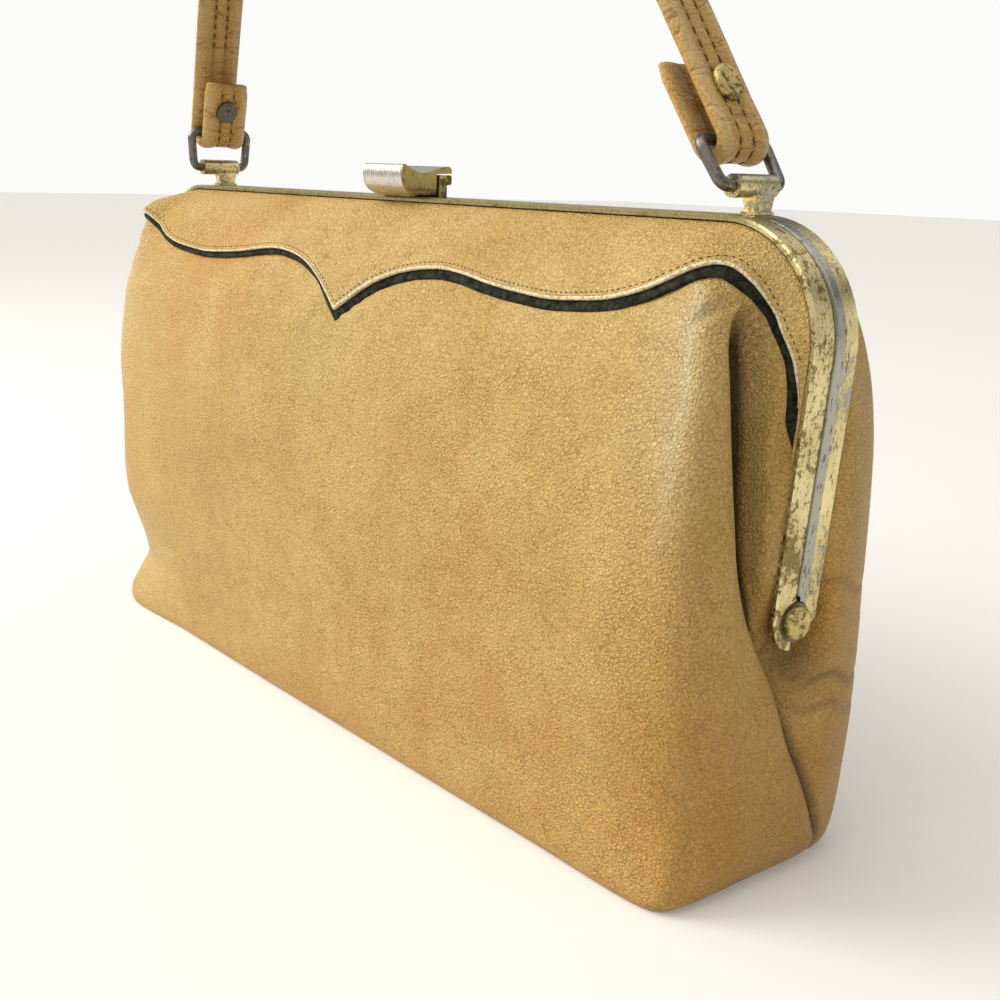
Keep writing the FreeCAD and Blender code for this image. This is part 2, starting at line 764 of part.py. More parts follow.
def forward_lean(shape):
    """The strap leans towards the front as it rises from a level just below its bars."""
    slide = FreeCAD.Matrix()
    slide.A23 = -strap_forward_share
    slide.A24 = strap_forward_share * (strap_place().Base.z - strap_forward_drop)
    return shape.transformGeometry(slide)


def arch_edges(start, radius):
    """Arch from the top of the right leg to the top of the left leg, in equal arcs."""
    first = math.radians(strap_lean)
    centre = vec(0, 0, start.z - radius * math.sin(first))
    turns = [first + (math.pi - 2 * first) * step / (2 * arch_pieces) for step in range(2 * arch_pieces + 1)]
    points = [centre + vec(radius * math.cos(turn), 0, radius * math.sin(turn)) for turn in turns]
    return [arc(*points[2 * i:2 * i + 3]) for i in range(arch_pieces)]


def handle_strap():
    """Padded strap: two straight legs and an arch, each end folded round its bar and up again as a flap."""
    inner = strap_loop_radius()
    outer = inner + strap_thickness
    turn = math.radians(strap_lean)
    arch = (half_chord() + outer * math.cos(turn) - strap_straight * math.sin(turn)) / math.cos(turn)
    faces = [[strap_side(side, radius, strap_straight) for side in (1, -1)] for radius in (outer, inner)]
    edges = []
    for (right, left), radius in zip(faces, (arch, arch - strap_thickness)):
        edges += arch_edges(right[0], radius)
        for points in (right, left):
            edges.append(line(points[0], points[1]))
            edges.append(arc(points[1], points[2], points[3]))
            edges.append(line(points[3], points[4]))
    for end in (0, 1):
        edges.append(line(faces[0][end][4], faces[1][end][4]))
    strap = prism(Part.__sortEdges__(edges), vec(0, strap_width, 0))
    side_edges = [edge for edge in strap.Edges if edge.BoundBox.YLength < ply_gap
                  and edge.Length > strap_thickness + ply_gap]
    strap = strap.makeFillet(strap_edge_round, side_edges)
    strap.translate(vec(0, -strap_width / 2, 0))
    strap.Placement = strap_place().multiply(strap.Placement)
    strap = forward_lean(strap)
    for side in (1, -1):
        hole = rivet_bar(side, cap_shank_radius + rivet_running_gap, -overrun, overrun)
        strap = strap.cut(placed_rivet(hole, side))
    return strap


def rivet_bar(side, radius, below, above):
    """Round bar through leg and flap, from below the flap's face to above the leg's face."""
    up, out = leg_axes(side)
    reach = strap_loop_radius() + strap_thickness
    foot = vec(side * half_chord(), 0, 0) + up * strap_rivet_height - out * (reach - below)
    return Part.makeCylinder(radius, 2 * reach + above - below, foot, out)


def placed_rivet(shape, side):
    """Rivet moved with the strap and slid forward as the strap is at its height."""
    up, out = leg_axes(side)
    centre = vec(side * half_chord(), 0, 0) + up * strap_rivet_height
    height = strap_place().multVec(centre).z - strap_place().Base.z + strap_forward_drop
    shape.Placement = strap_place().multiply(shape.Placement)
    shape.translate(vec(0, -strap_forward_share * height, 0))
    return shape


def strap_rivet_cap(side):
    """Domed cap on the outer face with the tube that runs through leg and flap."""
    up, out = leg_axes(side)
    reach = strap_loop_radius() + strap_thickness
    seat = vec(side * half_chord(), 0, 0) + up * strap_rivet_height + out * (reach + ply_gap)
    dome = Part.makeCylinder(cap_radius, cap_height, seat, out)
    top = max(dome.Edges, key=lambda edge: edge.CenterOfMass.dot(out) if edge.Closed else -math.inf)
    dome = dome.makeFillet(cap_height * 3 / 4, [top])
    return placed_rivet(fuse_all([dome, rivet_bar(side, cap_shank_radius, 0, cap_height / 2)]), side)


def strap_rivet_post(side):
    """Ring with a dimple on the flap's face that the tube is set into."""
    up, out = leg_axes(side)
    reach = strap_loop_radius() + strap_thickness
    seat = vec(side * half_chord(), 0, 0) + up * strap_rivet_height - out * (reach + ply_gap)
    disc = Part.makeCylinder(post_ring_radius, post_ring_height, seat, -out)
    dimple_reach = post_ring_height + post_dimple_radius * 3 / 4
    dimple = Part.makeSphere(post_dimple_radius, seat - out * dimple_reach)
    return placed_rivet(disc.cut(dimple), side)


parts = {
    "front_frame": front_frame(),
    "back_frame": back_frame(),
    "right_hinge_rivet": hinge_rivet(),
    "left_hinge_rivet": both_ends(hinge_rivet())[1],
    "right_hinge_washer": hinge_washer(),
    "left_hinge_washer": both_ends(hinge_washer())[1],
    "front_clasp_tab": front_clasp_tab(),
    "back_clasp_nub": back_clasp_nub(),
    "front_clasp_rivets": clasp_rivets(front_foot_middle()),
    "back_clasp_rivets": clasp_rivets(nub_middle()),
    "front_yoke": front_yoke(),
    "front_piping": front_piping(),
    "front_panel": front_panel(),
    "front_lining": front_lining(),
    "back_panel": back_panel(),
    "back_lining": back_lining(),
    "lower_body": lower_body(),
    "lower_lining": lower_lining(),
    "base_board": base_board(),
    "handle_strap": handle_strap(),
}
for name, side in (("left", -1), ("right", 1)):
    parts[name + "_handle_post"] = handle_post(side)
    parts[name + "_ring"] = handle_ring(side)
    parts[name + "_strap_rivet_cap"] = strap_rivet_cap(side)
    parts[name + "_strap_rivet_post"] = strap_rivet_post(side)

os.makedirs("parts", exist_ok=True)
for name, shape in parts.items():
    shape.exportStep("parts/" + name + ".step")
    extent = shape.optimalBoundingBox(False)
    print(name, "solids", len(shape.Solids), "valid", shape.isValid(), "volume", round(shape.Volume, 1),
          "box", [round(value, 2) for value in (extent.XMin, extent.XMax, extent.YMin, extent.YMax,
                                                 extent.ZMin, extent.ZMax)])
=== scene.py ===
# %% [markdown]
# # Kiss lock frame purse
# The bag is a soft leather pouch held in a two-part metal frame. The frame, clasp, rings and rivets come
# from the CAD model and keep their shapes. Everything soft is made here: the leather, the yoke with its
# cut edge and piping, the lining, the strap and the thread. Sizes are in millimetres and are turned into
# metres only when a mesh or a pattern is made.

# %% Load the CAD frame
import math

import bpy
import numpy as np
from mathutils import Matrix, Vector


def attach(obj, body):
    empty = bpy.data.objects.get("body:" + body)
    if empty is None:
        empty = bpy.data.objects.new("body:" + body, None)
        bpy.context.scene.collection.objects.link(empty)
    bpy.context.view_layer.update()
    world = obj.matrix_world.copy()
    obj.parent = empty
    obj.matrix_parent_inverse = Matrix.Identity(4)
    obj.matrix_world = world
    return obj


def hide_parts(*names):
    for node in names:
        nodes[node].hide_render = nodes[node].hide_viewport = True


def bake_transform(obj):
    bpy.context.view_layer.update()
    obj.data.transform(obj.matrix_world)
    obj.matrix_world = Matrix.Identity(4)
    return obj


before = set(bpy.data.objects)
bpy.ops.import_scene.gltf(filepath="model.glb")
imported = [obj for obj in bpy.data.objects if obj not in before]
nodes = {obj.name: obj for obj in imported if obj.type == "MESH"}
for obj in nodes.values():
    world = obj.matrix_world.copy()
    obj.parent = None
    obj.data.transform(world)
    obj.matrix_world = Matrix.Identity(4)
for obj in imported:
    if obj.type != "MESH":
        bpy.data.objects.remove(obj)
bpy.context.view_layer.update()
MM = 0.001

# %% [markdown]
# ## Curves
# A soft surface is easiest to steer through a few plan sections: each row of points is the outline of the
# leather at one height. A cubic curve runs through the points of a row, and another one runs through the
# rows, so a few numbers give a smooth skin. The tangents follow the spacing of the points, which keeps
# tight folds from looping.

# %% Curves through points


def smooth(low, high, value):
    """Share of the way from low to high, eased at both ends. High may lie below low."""
    t = np.clip((np.asarray(value, float) - low) / (high - low), 0, 1)
    return t * t * (3 - 2 * t)


def tangents(points, knots):
    """Slopes at the points of one or many curves, weighted by the spacing of the knots."""
    step = np.diff(knots, axis=-1)[..., None]
    slope = np.diff(points, axis=-2) / step
    inner = slope[..., :-1, :] * step[..., 1:, :] + slope[..., 1:, :] * step[..., :-1, :]
    inner = inner / (step[..., 1:, :] + step[..., :-1, :])
    return np.concatenate([slope[..., :1, :], inner, slope[..., -1:, :]], axis=-2)


def hermite(p, q, m, n, h, t):
    """Cubic from p to q with the slopes m and n, over a span of knots h, at the shares t."""
    t = np.asarray(t)[..., None]
    return ((2 * t**3 - 3 * t**2 + 1) * p + (t**3 - 2 * t**2 + t) * h * m
            + (3 * t**2 - 2 * t**3) * q + (t**3 - t**2) * h * n)


def along(points, pieces):
    """Points on the curve through each row of points, with a number of pieces for every span."""
    points = np.asarray(points, float)
    gaps = np.maximum(np.linalg.norm(np.diff(points, axis=-2), axis=-1), 1e-4) ** 0.5
    knots = np.concatenate([np.zeros(gaps.shape[:-1] + (1,)), np.cumsum(gaps, axis=-1)], axis=-1)
    slopes = tangents(points, knots)
    out = []
    for i, count in enumerate(pieces):
        last = i == len(pieces) - 1
        for t in np.linspace(0, 1, count + 1)[: None if last else -1]:
            h = (knots[..., i + 1] - knots[..., i])[..., None]
            out.append(hermite(points[..., i, :], points[..., i + 1, :], slopes[..., i, :],
                               slopes[..., i + 1, :], h, np.full(h.shape[:-1], t)))
    return np.stack(out, axis=-2)


def between_rows(heights, rows, wanted):
    """Rows at the wanted heights, on cubic curves through the rows that are given."""
    heights, rows = np.asarray(heights, float), np.asarray(rows, float)
    flat = rows.reshape(len(heights), -1)
    slopes = tangents(flat, heights)
    i = np.clip(np.searchsorted(heights, wanted, side="right") - 1, 0, len(heights) - 2)
    h = (heights[i + 1] - heights[i])[:, None]
    t = (wanted - heights[i]) / h[:, 0]
    between = hermite(flat[i], flat[i + 1], slopes[i], slopes[i + 1], h, t)
    return between.reshape((len(wanted),) + rows.shape[1:])


print("half way, eased:", smooth(0, 1, 0.5))

# %% [markdown]
# ## Meshes
# A grid of points becomes a mesh whose UV map holds real distances, so that a pattern on it keeps its
# size. A sheet gets its wall from the Solidify modifier. The modifier is worked in at once, because a
# piece that bends with the frame has to be a plain mesh.

# %% Meshes from grids of points
UV_NAME = "along_and_across"


def grid_faces(rows, columns, flip=False, wrap=False):
    """Four-sided faces between the points of a grid, row by row. Wrap joins the last column to the first."""
    faces = []
    for r in range(rows - 1):
        for c in range(columns if wrap else columns - 1):
            d = (c + 1) % columns
            quad = (r * columns + c, r * columns + d, (r + 1) * columns + d, (r + 1) * columns + c)
            faces.append(quad[::-1] if flip else quad)
    return faces


def tube_faces(rings, count, flip=False):
    """Faces of a tube with a number of points in each ring, closed at both ends."""
    first = tuple(range(count))
    last = tuple(range((rings - 1) * count, rings * count))
    ends = [last[::-1], first] if flip else [first[::-1], last]
    return grid_faces(rings, count, flip, wrap=True) + ends


def grid_uv(grid):
    """Distance along and across a grid of points, in metres."""
    across = np.linalg.norm(np.diff(grid, axis=1), axis=-1)
    across = np.concatenate([np.zeros((grid.shape[0], 1)), np.cumsum(across, axis=1)], axis=1)
    down = np.linalg.norm(np.diff(grid, axis=0), axis=-1)
    down = np.concatenate([np.zeros((1, grid.shape[1])), np.cumsum(down, axis=0)], axis=0)
    return np.stack([across, down], axis=-1).reshape(-1, 2) * MM


def mesh_object(name, points, faces, material, uv=None):
    """Smooth shaded object at the origin from points in millimetres."""
    mesh = bpy.data.meshes.new(name)
    mesh.from_pydata((np.asarray(points) * MM).tolist(), [], faces)
    mesh.materials.append(material)
    if uv is not None:
        layer = mesh.uv_layers.new(name=UV_NAME)
        loops = np.empty(len(mesh.loops), int)
        mesh.loops.foreach_get("vertex_index", loops)
        layer.data.foreach_set("uv", np.asarray(uv, np.float32)[loops].ravel())
    mesh.polygons.foreach_set("use_smooth", [True] * len(mesh.polygons))
    mesh.validate()
    obj = bpy.data.objects.new(name, mesh)
    bpy.context.collection.objects.link(obj)
    return obj


def sheet(name, grid, material, flip=False):
    """Object from a grid of points, with its UV map."""
    faces = grid_faces(*grid.shape[:2], flip=flip)
    return mesh_object(name, grid.reshape(-1, 3), faces, material, grid_uv(grid))


def paint(obj, name, values):
    """A number at every point of a mesh that its material can read."""
    attribute = obj.data.attributes.new(name, "FLOAT", "POINT")
    attribute.data.foreach_set("value", np.asarray(values, np.float32).ravel())


def thicken(obj, thickness):
    """A wall behind a sheet of faces, worked into the mesh and kept above the floor."""
    wall = obj.modifiers.new("wall", "SOLIDIFY")
    wall.thickness = thickness * MM
    wall.offset = -1.0
    wall.use_even_offset = False
    bpy.context.view_layer.update()
    graph = bpy.context.evaluated_depsgraph_get()
    mesh = bpy.data.meshes.new_from_object(obj.evaluated_get(graph), preserve_all_data_layers=True,
                                           depsgraph=graph)
    obj.modifiers.clear()
    obj.data = mesh
    for vertex in mesh.vertices:
        vertex.co.z = max(vertex.co.z, 0.0)


print("faces of a closed tube of three rings:", len(tube_faces(3, 8)))

# %% [markdown]
# ## Materials
# Every material is a tree of nodes. Map Range takes a value at 0, the range it comes from at 1 and 2 and
# the range it goes to at 3 and 4. Mix takes a share at 0, and two colours at 6 and 7 or two numbers at 2
# and 3. The other nodes here take their inputs by name, or in the order that Blender shows them.

# %% Colours and nodes


def linear(hex_colour):
    """sRGB hex to the linear colour that sockets take."""
    values = [int(hex_colour[i:i + 2], 16) / 255 for i in (1, 3, 5)]
    return [v / 12.92 if v <= 0.04045 else ((v + 0.055) / 1.055) ** 2.4 for v in values] + [1.0]


def per_metre(width):
    """Scale that makes the cells, specks or patches of a pattern about a width in millimetres."""
    return 1 / (width * MM)


def join(tree, item, inputs):
    """Sets a node's inputs. Each is a value, a socket, or a node that gives its first open output."""
    for key, value in inputs.items():
        if isinstance(value, bpy.types.Node):
            value = next(socket for socket in value.outputs if socket.enabled)
        if isinstance(value, bpy.types.NodeSocket):
            tree.links.new(value, item.inputs[key])
        else:
            item.inputs[key].default_value = value


def add(tree, kind, inputs=None, **settings):
    """One node with its settings and links."""
    item = tree.nodes.new(kind)
    for key, value in settings.items():
        setattr(item, key, value)
    join(tree, item, inputs or {})
    return item


def new_material(name):
    """An empty material with its tree, its shader and the Object coordinates in metres."""
    material = bpy.data.materials.new(name)
    material.use_nodes = True
    tree = material.node_tree
    shader = tree.nodes["Principled BSDF"]
    place = add(tree, "ShaderNodeTexCoord").outputs["Object"]
    return material, tree, shader, place


print("middle grey in linear light:", round(linear("#808080")[0], 3))

# %% [markdown]
# ## Leather
# The body is dyed calf leather with a fine pebbled grain. Years of handling have left hair cracks between the
# pebbles, amber patches where oil soaked in, and a pale, smooth rub along the folds, with a sheen painted on
# it as well. Shade is painted into the valleys and creases in a near-black tone. A flat picture would stretch
# over the folds, so the grain is worked out in space: the distance to the edge of a Voronoi cell is the
# crack, and the rounded cells are the bump.

# %% Grain and cracks
PATCH_WIDTH, BLOTCH_WIDTH, WORN_SPOT = 83.3, 23.8, 6.67
SMOOTH_LEFT, SMOOTH_LEFT_END = -130, -40
FLEXED_FROM, FLEXED_TO = 130, 140


def grain(tree, place, pebble):
    """Patterns of one hide: pebbles, plates between the cracks, and fine, middle and broad stains."""
    size = per_metre(pebble)
    bent = add(tree, "ShaderNodeTexNoise", {"Vector": place, "Scale": size * 0.6, "Detail": 2.0})
    bent = add(tree, "ShaderNodeVectorMath", {0: bent.outputs["Color"], "Scale": 0.9 * pebble * MM},
               operation="SCALE")
    bent = add(tree, "ShaderNodeVectorMath", {0: place, 1: bent})
    cells = add(tree, "ShaderNodeTexVoronoi", {"Vector": bent, "Scale": size}, feature="DISTANCE_TO_EDGE")
    sway = add(tree, "ShaderNodeTexNoise", {"Vector": place, "Scale": size * 0.22, "Detail": 3.0})
    sway = add(tree, "ShaderNodeVectorMath", {0: sway.outputs["Color"], "Scale": 3.0 * pebble * MM},
               operation="SCALE")
    sway = add(tree, "ShaderNodeVectorMath", {0: bent, 1: sway})
    sway = add(tree, "ShaderNodeMapping", {"Vector": sway, "Scale": (0.8, 0.8, 1.3)})
    plates = add(tree, "ShaderNodeTexVoronoi", {"Vector": sway, "Scale": size * 0.7},
                 feature="DISTANCE_TO_EDGE")
    fine = add(tree, "ShaderNodeTexNoise", {"Vector": place, "Scale": size * 1.5, "Detail": 4.0,
                                            "Roughness": 0.62})
    blotch = add(tree, "ShaderNodeTexNoise", {"Vector": place, "Scale": per_metre(BLOTCH_WIDTH),
                                              "Detail": 3.0})
    patches = add(tree, "ShaderNodeTexNoise", {"Vector": place, "Scale": per_metre(PATCH_WIDTH),
                                               "Detail": 2.0})
    return cells, plates, fine, blotch, patches


def cracks(tree, place, cells, plates, aging):
    """How plainly the cracks show: least at the smooth left, at the bag's ends and between old spots."""
    hair = add(tree, "ShaderNodeMapRange", {0: cells, 1: 0.0, 2: 0.11, 3: aging, 4: 0.0})
    split = add(tree, "ShaderNodeMapRange", {0: plates, 1: 0.0, 2: 0.1, 3: aging, 4: 0.0})
    lines = add(tree, "ShaderNodeMath", {0: hair, 1: 0.3, 2: split}, operation="MULTIPLY_ADD")
    spots = add(tree, "ShaderNodeTexNoise", {"Vector": place, "Scale": per_metre(WORN_SPOT), "Detail": 5.0,
                                             "Roughness": 0.75})
    old = add(tree, "ShaderNodeMapRange", {0: spots, 1: 0.4, 2: 0.62, 3: 0.25, 4: 0.95})
    side = add(tree, "ShaderNodeSeparateXYZ", {0: place}).outputs["X"]
    handled = add(tree, "ShaderNodeMapRange", {0: side, 1: SMOOTH_LEFT * MM, 2: SMOOTH_LEFT_END * MM,
                                               3: 0.4, 4: 1.0})
    wide = add(tree, "ShaderNodeMath", {0: side}, operation="ABSOLUTE")
    flexed = add(tree, "ShaderNodeMapRange", {0: wide, 1: FLEXED_FROM * MM, 2: FLEXED_TO * MM,
                                              3: 1.0, 4: 0.5})
    for share in (old, handled, flexed):
        lines = add(tree, "ShaderNodeMath", {0: lines, 1: share}, operation="MULTIPLY")
    return lines


print("broad patches of the dye:", PATCH_WIDTH, "mm")

# %% [markdown]
# The pale rub with its painted sheen, and the painted shade, are numbers painted on the mesh, because only
# the shape knows where its folds are.
# The strap bends all the time, so its leather also has creases across it: thin lines where a stretched
# noise passes its middle value.

# %% Pebbled leather and strap leather
CREASE_WIDTH, CREASE_DEPTH = 8.33, 0.35


def creased(tree, tone, bump, colour, strength):
    """Tone and bump with creases across a strap whose UV map holds its length."""
    ruled = add(tree, "ShaderNodeUVMap", uv_map=UV_NAME)
    ruled = add(tree, "ShaderNodeMapping", {"Vector": ruled, "Scale": (1.0, 0.3, 1.0)})
    folds = add(tree, "ShaderNodeTexNoise", {"Vector": ruled, "Scale": per_metre(CREASE_WIDTH), "Detail": 3.0,
                                             "Roughness": 0.62})
    folds = add(tree, "ShaderNodeMath", {0: folds, 1: -0.5}, operation="ADD")
    folds = add(tree, "ShaderNodeMath", {0: folds}, operation="ABSOLUTE")
    lines = add(tree, "ShaderNodeMapRange", {0: folds, 1: 0.0, 2: 0.011, 3: 0.6, 4: 0.0})
    tone = add(tree, "ShaderNodeMix", {0: lines, 6: tone, 7: colour}, data_type="RGBA")
    folds = add(tree, "ShaderNodeMapRange", {0: folds, 1: 0.0, 2: 0.06})
    bump = add(tree, "ShaderNodeBump", {"Height": folds, "Strength": strength, "Distance": CREASE_DEPTH * MM,
                                        "Normal": bump})
    return tone, bump


def leather(name, tones, pebble, roughness, aging, relief_share, creases=0.0):
    """Dyed and pebbled calf. Tones run light, two tones of the dye, crack, the pale rub with its painted
    sheen, and the painted shade; pebble is the width of a pebble in millimetres, and aging is how plainly the
    cracks show."""
    light, dye, other_dye, crack, rub_and_sheen_tone, shade_tone = [linear(tone) for tone in tones]
    material, tree, shader, place = new_material(name)
    cells, plates, fine, blotch, patches = grain(tree, place, pebble)
    where = add(tree, "ShaderNodeMapRange", {0: patches, 1: 0.28, 2: 0.66})
    tone = add(tree, "ShaderNodeMix", {0: where, 6: other_dye, 7: dye}, data_type="RGBA")
    glow = add(tree, "ShaderNodeMapRange", {0: blotch, 1: 0.41, 2: 0.68, 4: 0.45})
    tone = add(tree, "ShaderNodeMix", {0: glow, 6: tone, 7: light}, data_type="RGBA")
    speck = add(tree, "ShaderNodeMapRange", {0: fine, 1: 0.35, 2: 0.65, 3: 0.75, 4: 1.19})
    tone = add(tree, "ShaderNodeMix", {0: 1.0, 6: tone, 7: speck}, data_type="RGBA", blend_type="MULTIPLY")
    lines = cracks(tree, place, cells, plates, aging)
    # Two numbers painted on the mesh: a pale, smoother rub with a painted sheen, and painted shade in the
    # last, near-black tone.
    rub_and_sheen = add(tree, "ShaderNodeAttribute", attribute_name="rub_and_sheen").outputs["Fac"]
    broken = add(tree, "ShaderNodeMapRange", {0: fine, 1: 0.3, 2: 0.62, 3: 0.45, 4: 1.0})
    rub_and_sheen_share = add(tree, "ShaderNodeMath", {0: rub_and_sheen, 1: broken}, operation="MULTIPLY")
    painted_shade = add(tree, "ShaderNodeAttribute", attribute_name="painted_shade").outputs["Fac"]
    for share, colour in ((lines, crack), (rub_and_sheen_share, rub_and_sheen_tone), (painted_shade, shade_tone)):
        tone = add(tree, "ShaderNodeMix", {0: share, 6: tone, 7: colour}, data_type="RGBA")
    shine = add(tree, "ShaderNodeMapRange", {0: blotch, 1: 0.3, 2: 0.7,
                                             3: roughness - 0.08, 4: roughness + 0.08})
    shine = add(tree, "ShaderNodeMath", {0: rub_and_sheen_share, 1: -0.18, 2: shine}, operation="MULTIPLY_ADD")
    dome = add(tree, "ShaderNodeMapRange", {0: cells, 1: 0.0, 2: 0.3})
    plate = add(tree, "ShaderNodeMapRange", {0: plates, 1: 0.0, 2: 0.14})
    high = add(tree, "ShaderNodeMath", {0: fine, 1: 0.35, 2: dome}, operation="MULTIPLY_ADD")
    high = add(tree, "ShaderNodeMath", {0: plate, 1: 0.5, 2: high}, operation="MULTIPLY_ADD")
    bump = add(tree, "ShaderNodeBump", {"Height": high, "Strength": relief_share,
                                        "Distance": 0.24 * pebble * MM})
    if creases:
        tone, bump = creased(tree, tone, bump, crack, creases)
    join(tree, shader, {"Base Color": tone, "Roughness": shine, "Normal": bump, "Specular IOR Level": 0.34})
    return material


# Soft calf: straw and amber dye under a dull shine, with a net of fine brown cracks.
# Its last two tones are the pale rub with its painted sheen, and the near-black painted shade.
calf = leather("pebbled_calf_leather", ("#ECCB86", "#D9A655", "#D6B568", "#8A5D20", "#ECDFBC", "#150B04"),
               pebble=0.95, roughness=0.43, aging=0.7, relief_share=0.9)
# Strap calf: smoother and shinier from the hand, with creases across it, a painted highlight on its rolled
# edges and painted shade in its grooves.
strap_hide = leather("strap_calf_leather", ("#F0C87E", "#E0B464", "#C6994C", "#6A4A20", "#EEDAA8", "#2E1D0B"),
                     pebble=1.0, roughness=0.36, aging=0.4, relief_share=0.22, creases=0.3)
print("leathers:", calf.name, strap_hide.name)

# %% [markdown]
# ## Frame outline and swell
# The leather is tucked into the frame's channel, so its upper edge follows the frame: a straight top, two
# round corners and two legs that flare. Just below the frame it swells forward. The swell is a table of
# depth over the distance from the channel, one for the top and one for the legs, because the yoke, its
# edge and the piping all have to lie on the same surface.

# %% Outline of the frame, and the swell of the leather below it
# heights of the frame's top and its hinge, half its width at the hinge, how far a leg flares, corner radius
FRAME_TOP, HINGE, HALF_SPAN, FLARE, CORNER = 150.0, 64.5, 141.0, 4.5, 26.0
LEAN = math.atan2(FLARE, FRAME_TOP - CORNER - HINGE)
CORNER_Z = FRAME_TOP - CORNER
CORNER_X = HALF_SPAN + FLARE - CORNER / math.cos(LEAN)
MOUTH_INSET = 1.6
SWELL_REACH = (0, 1, 2.4, 5.4, 7.4, 10.4, 14.4, 20, 30, 45, 60)
SWELL_TOP = (6.4, 8.4, 10.6, 13.9, 15.8, 18.5, 21.6, 25.0, 28.6, 31.6, 33.2)
SWELL_LEG_REACH = (0, 2, 4, 8, 12, 16, 30)
SWELL_LEG = (6.4, 7.6, 8.4, 9.6, 12.5, 17.0, 24.0)
SWELL_TURN = (16, 60)
CORNER_FULLNESS, CORNER_FULL_X, CORNER_FULL_REACH = 3.0, (84, 122), 6
PUFF_HEIGHTS, LEFT_PUFF = (121, 129.5, 134, 138, 142), (0, 1.8, 3.6, 5.8, 7.5)
PUFF_X, PUFF_REACH = (-115, -127), 3


def outline_x(z):
    """Half width of the frame at a height, measured inside its sheet."""
    radius = CORNER - MOUTH_INSET
    rise = np.asarray(z, float) - CORNER_Z
    arc = CORNER_X + np.sqrt(np.maximum(radius**2 - rise**2, 0))
    leg = HALF_SPAN + (np.asarray(z, float) - HINGE) * math.tan(LEAN) - MOUTH_INSET / math.cos(LEAN)
    return np.where(rise > -radius * math.sin(LEAN), arc, leg)


def mouth_reach(x, z):
    """Distance from the frame's mouth, and the turn round the corner in degrees, seen from the front."""
    x, z = np.abs(np.asarray(x, float)), np.asarray(z, float)
    away_x, away_z = x - CORNER_X, z - CORNER_Z
    turn = np.degrees(np.arctan2(np.maximum(away_z, 0), np.maximum(away_x, 1e-6)))
    round_reach = CORNER - MOUTH_INSET - np.hypot(np.maximum(away_x, 0), np.maximum(away_z, 0))
    top_reach = FRAME_TOP - MOUTH_INSET - z
    reach = np.where(away_x <= 0, top_reach, np.where(away_z <= 0, outline_x(z) - x, round_reach))
    return np.maximum(reach, 0), np.where(away_x <= 0, 90.0, turn)


def left_puff(x, z):
    """The left corner of the bag is fuller than the right one: the fold pushes the yoke's end forward."""
    reach, _ = mouth_reach(x, z)
    return np.interp(z, PUFF_HEIGHTS, LEFT_PUFF) * smooth(*PUFF_X, x) * np.clip(reach / PUFF_REACH, 0, 1)


def front_swell(x, z):
    """How far the leather below the frame stands forward of the seam, seen from the front."""
    reach, turn = mouth_reach(x, z)
    towards_top = smooth(*SWELL_TURN, turn)
    fuller = CORNER_FULLNESS * smooth(*CORNER_FULL_X, np.abs(x)) * np.clip(reach / CORNER_FULL_REACH, 0, 1)
    top = np.interp(reach, SWELL_REACH, SWELL_TOP) + fuller
    leg = np.interp(reach, SWELL_LEG_REACH, SWELL_LEG)
    return towards_top * top + (1 - towards_top) * leg + left_puff(x, z)


print("swell at the middle:", front_swell(0, 118.0))

# %% [markdown]
# ## Sections of the front
# The front of the bag is one piece of leather. It is full at the belly and gathers towards the frame. At each
# end it folds back on itself: a soft fold stands forward of the frame, and a deep valley lies between the
# fold and the strip that the frame's leg holds. Below the hinge the fold wraps round the end of the bag and
# covers the edge of the back. Cloth simulation would find such folds by chance, so the sections are drawn
# instead.

# %% Plan sections of the front, from the base to the frame
# height, middle depth, end depth, end x, corner radius, fold x, fold y, then the valley and the strip
FRONT_ROWS = (
    (0.0, 30.2, 29.6, 133.8, 5.6, 133.8, 19.5, None),
    (1.5, 31.4, 30.8, 135.8, 6.4, 136.0, 19.0, None),
    (5.0, 32.3, 31.6, 137.8, 8.0, 138.4, 17.5, None),
    (12.0, 32.9, 31.8, 138.8, 10.4, 140.2, 13.6, None),
    (22.0, 33.3, 31.9, 139.4, 12.4, 141.3, 8.0, None),
    (36.0, 33.8, 33.2, 141.2, 14.0, 142.0, -0.6, None),
    (50.0, 34.0, 34.0, 142.0, 15.0, 142.2, -7.4, None),
    (60.0, 34.0, 34.2, 141.2, 16.0, 141.0, -12.4,
     ((136.0, -9.0), (136.3, -7.8), (136.6, -6.6), (136.8, -5.0), (136.8, -3.4))),
    (66.0, 34.0, 34.2, 140.7, 15.8, 140.4, -15.2,
     ((135.2, -9.6), (136.2, -8.2), (137.2, -7.0), (137.8, -5.2), (137.8, -3.2))),
    (75.0, 34.0, 34.0, 140.2, 14.6, 139.8, -18.0, ((131.6, -9.8), (134.6, -8.9), (138.4, -7.9))),
    (90.0, 33.2, 33.4, 139.8, 11.8, 139.4, -20.6, ((129.0, -10.2), (133.0, -9.0), (138.4, -8.2))),
    (105.0, 31.0, 31.7, 138.2, 9.2, 137.9, -21.4, ((128.0, -10.8), (132.4, -9.1), (138.6, -7.8))),
    (118.0, 27.8, 29.0, 136.4, 7.2, 135.9, -21.0, ((127.6, -11.6), (131.6, -9.6), (138.0, -7.3))),
    (125.0, 24.8, 26.6, 134.0, 6.6, 133.4, -19.2, ((127.6, -12.6), (131.2, -10.4), (136.6, -7.7))),
    (129.5, 22.6, 24.4, 132.2, 6.2, 132.2, -17.2, ((129.6, -13.6), (132.0, -11.2), (136.4, -8.2))),
    (134.0, 19.8, 21.6, 130.8, 5.6, 131.6, -15.4,
     ((132.0, -14.6), (132.9, -13.2), (134.2, -11.4), (137.0, -9.0))),
)
QUARTER_X, HALF_X = 45, 90
FOLD_CLEAR, FOLD_BULGE_SHARE, FOLD_LIP = 0.6, 0.012, (-1.3, 1.7)
TUCK_STEPS = ((-3.8, -0.7), (-5.8, -1.9), (-6.8, -2.9), (-7.8, -3.9), (-8.3, -4.9))
CHANNEL_OUT, CHANNEL_IN = -5.5, -3.2
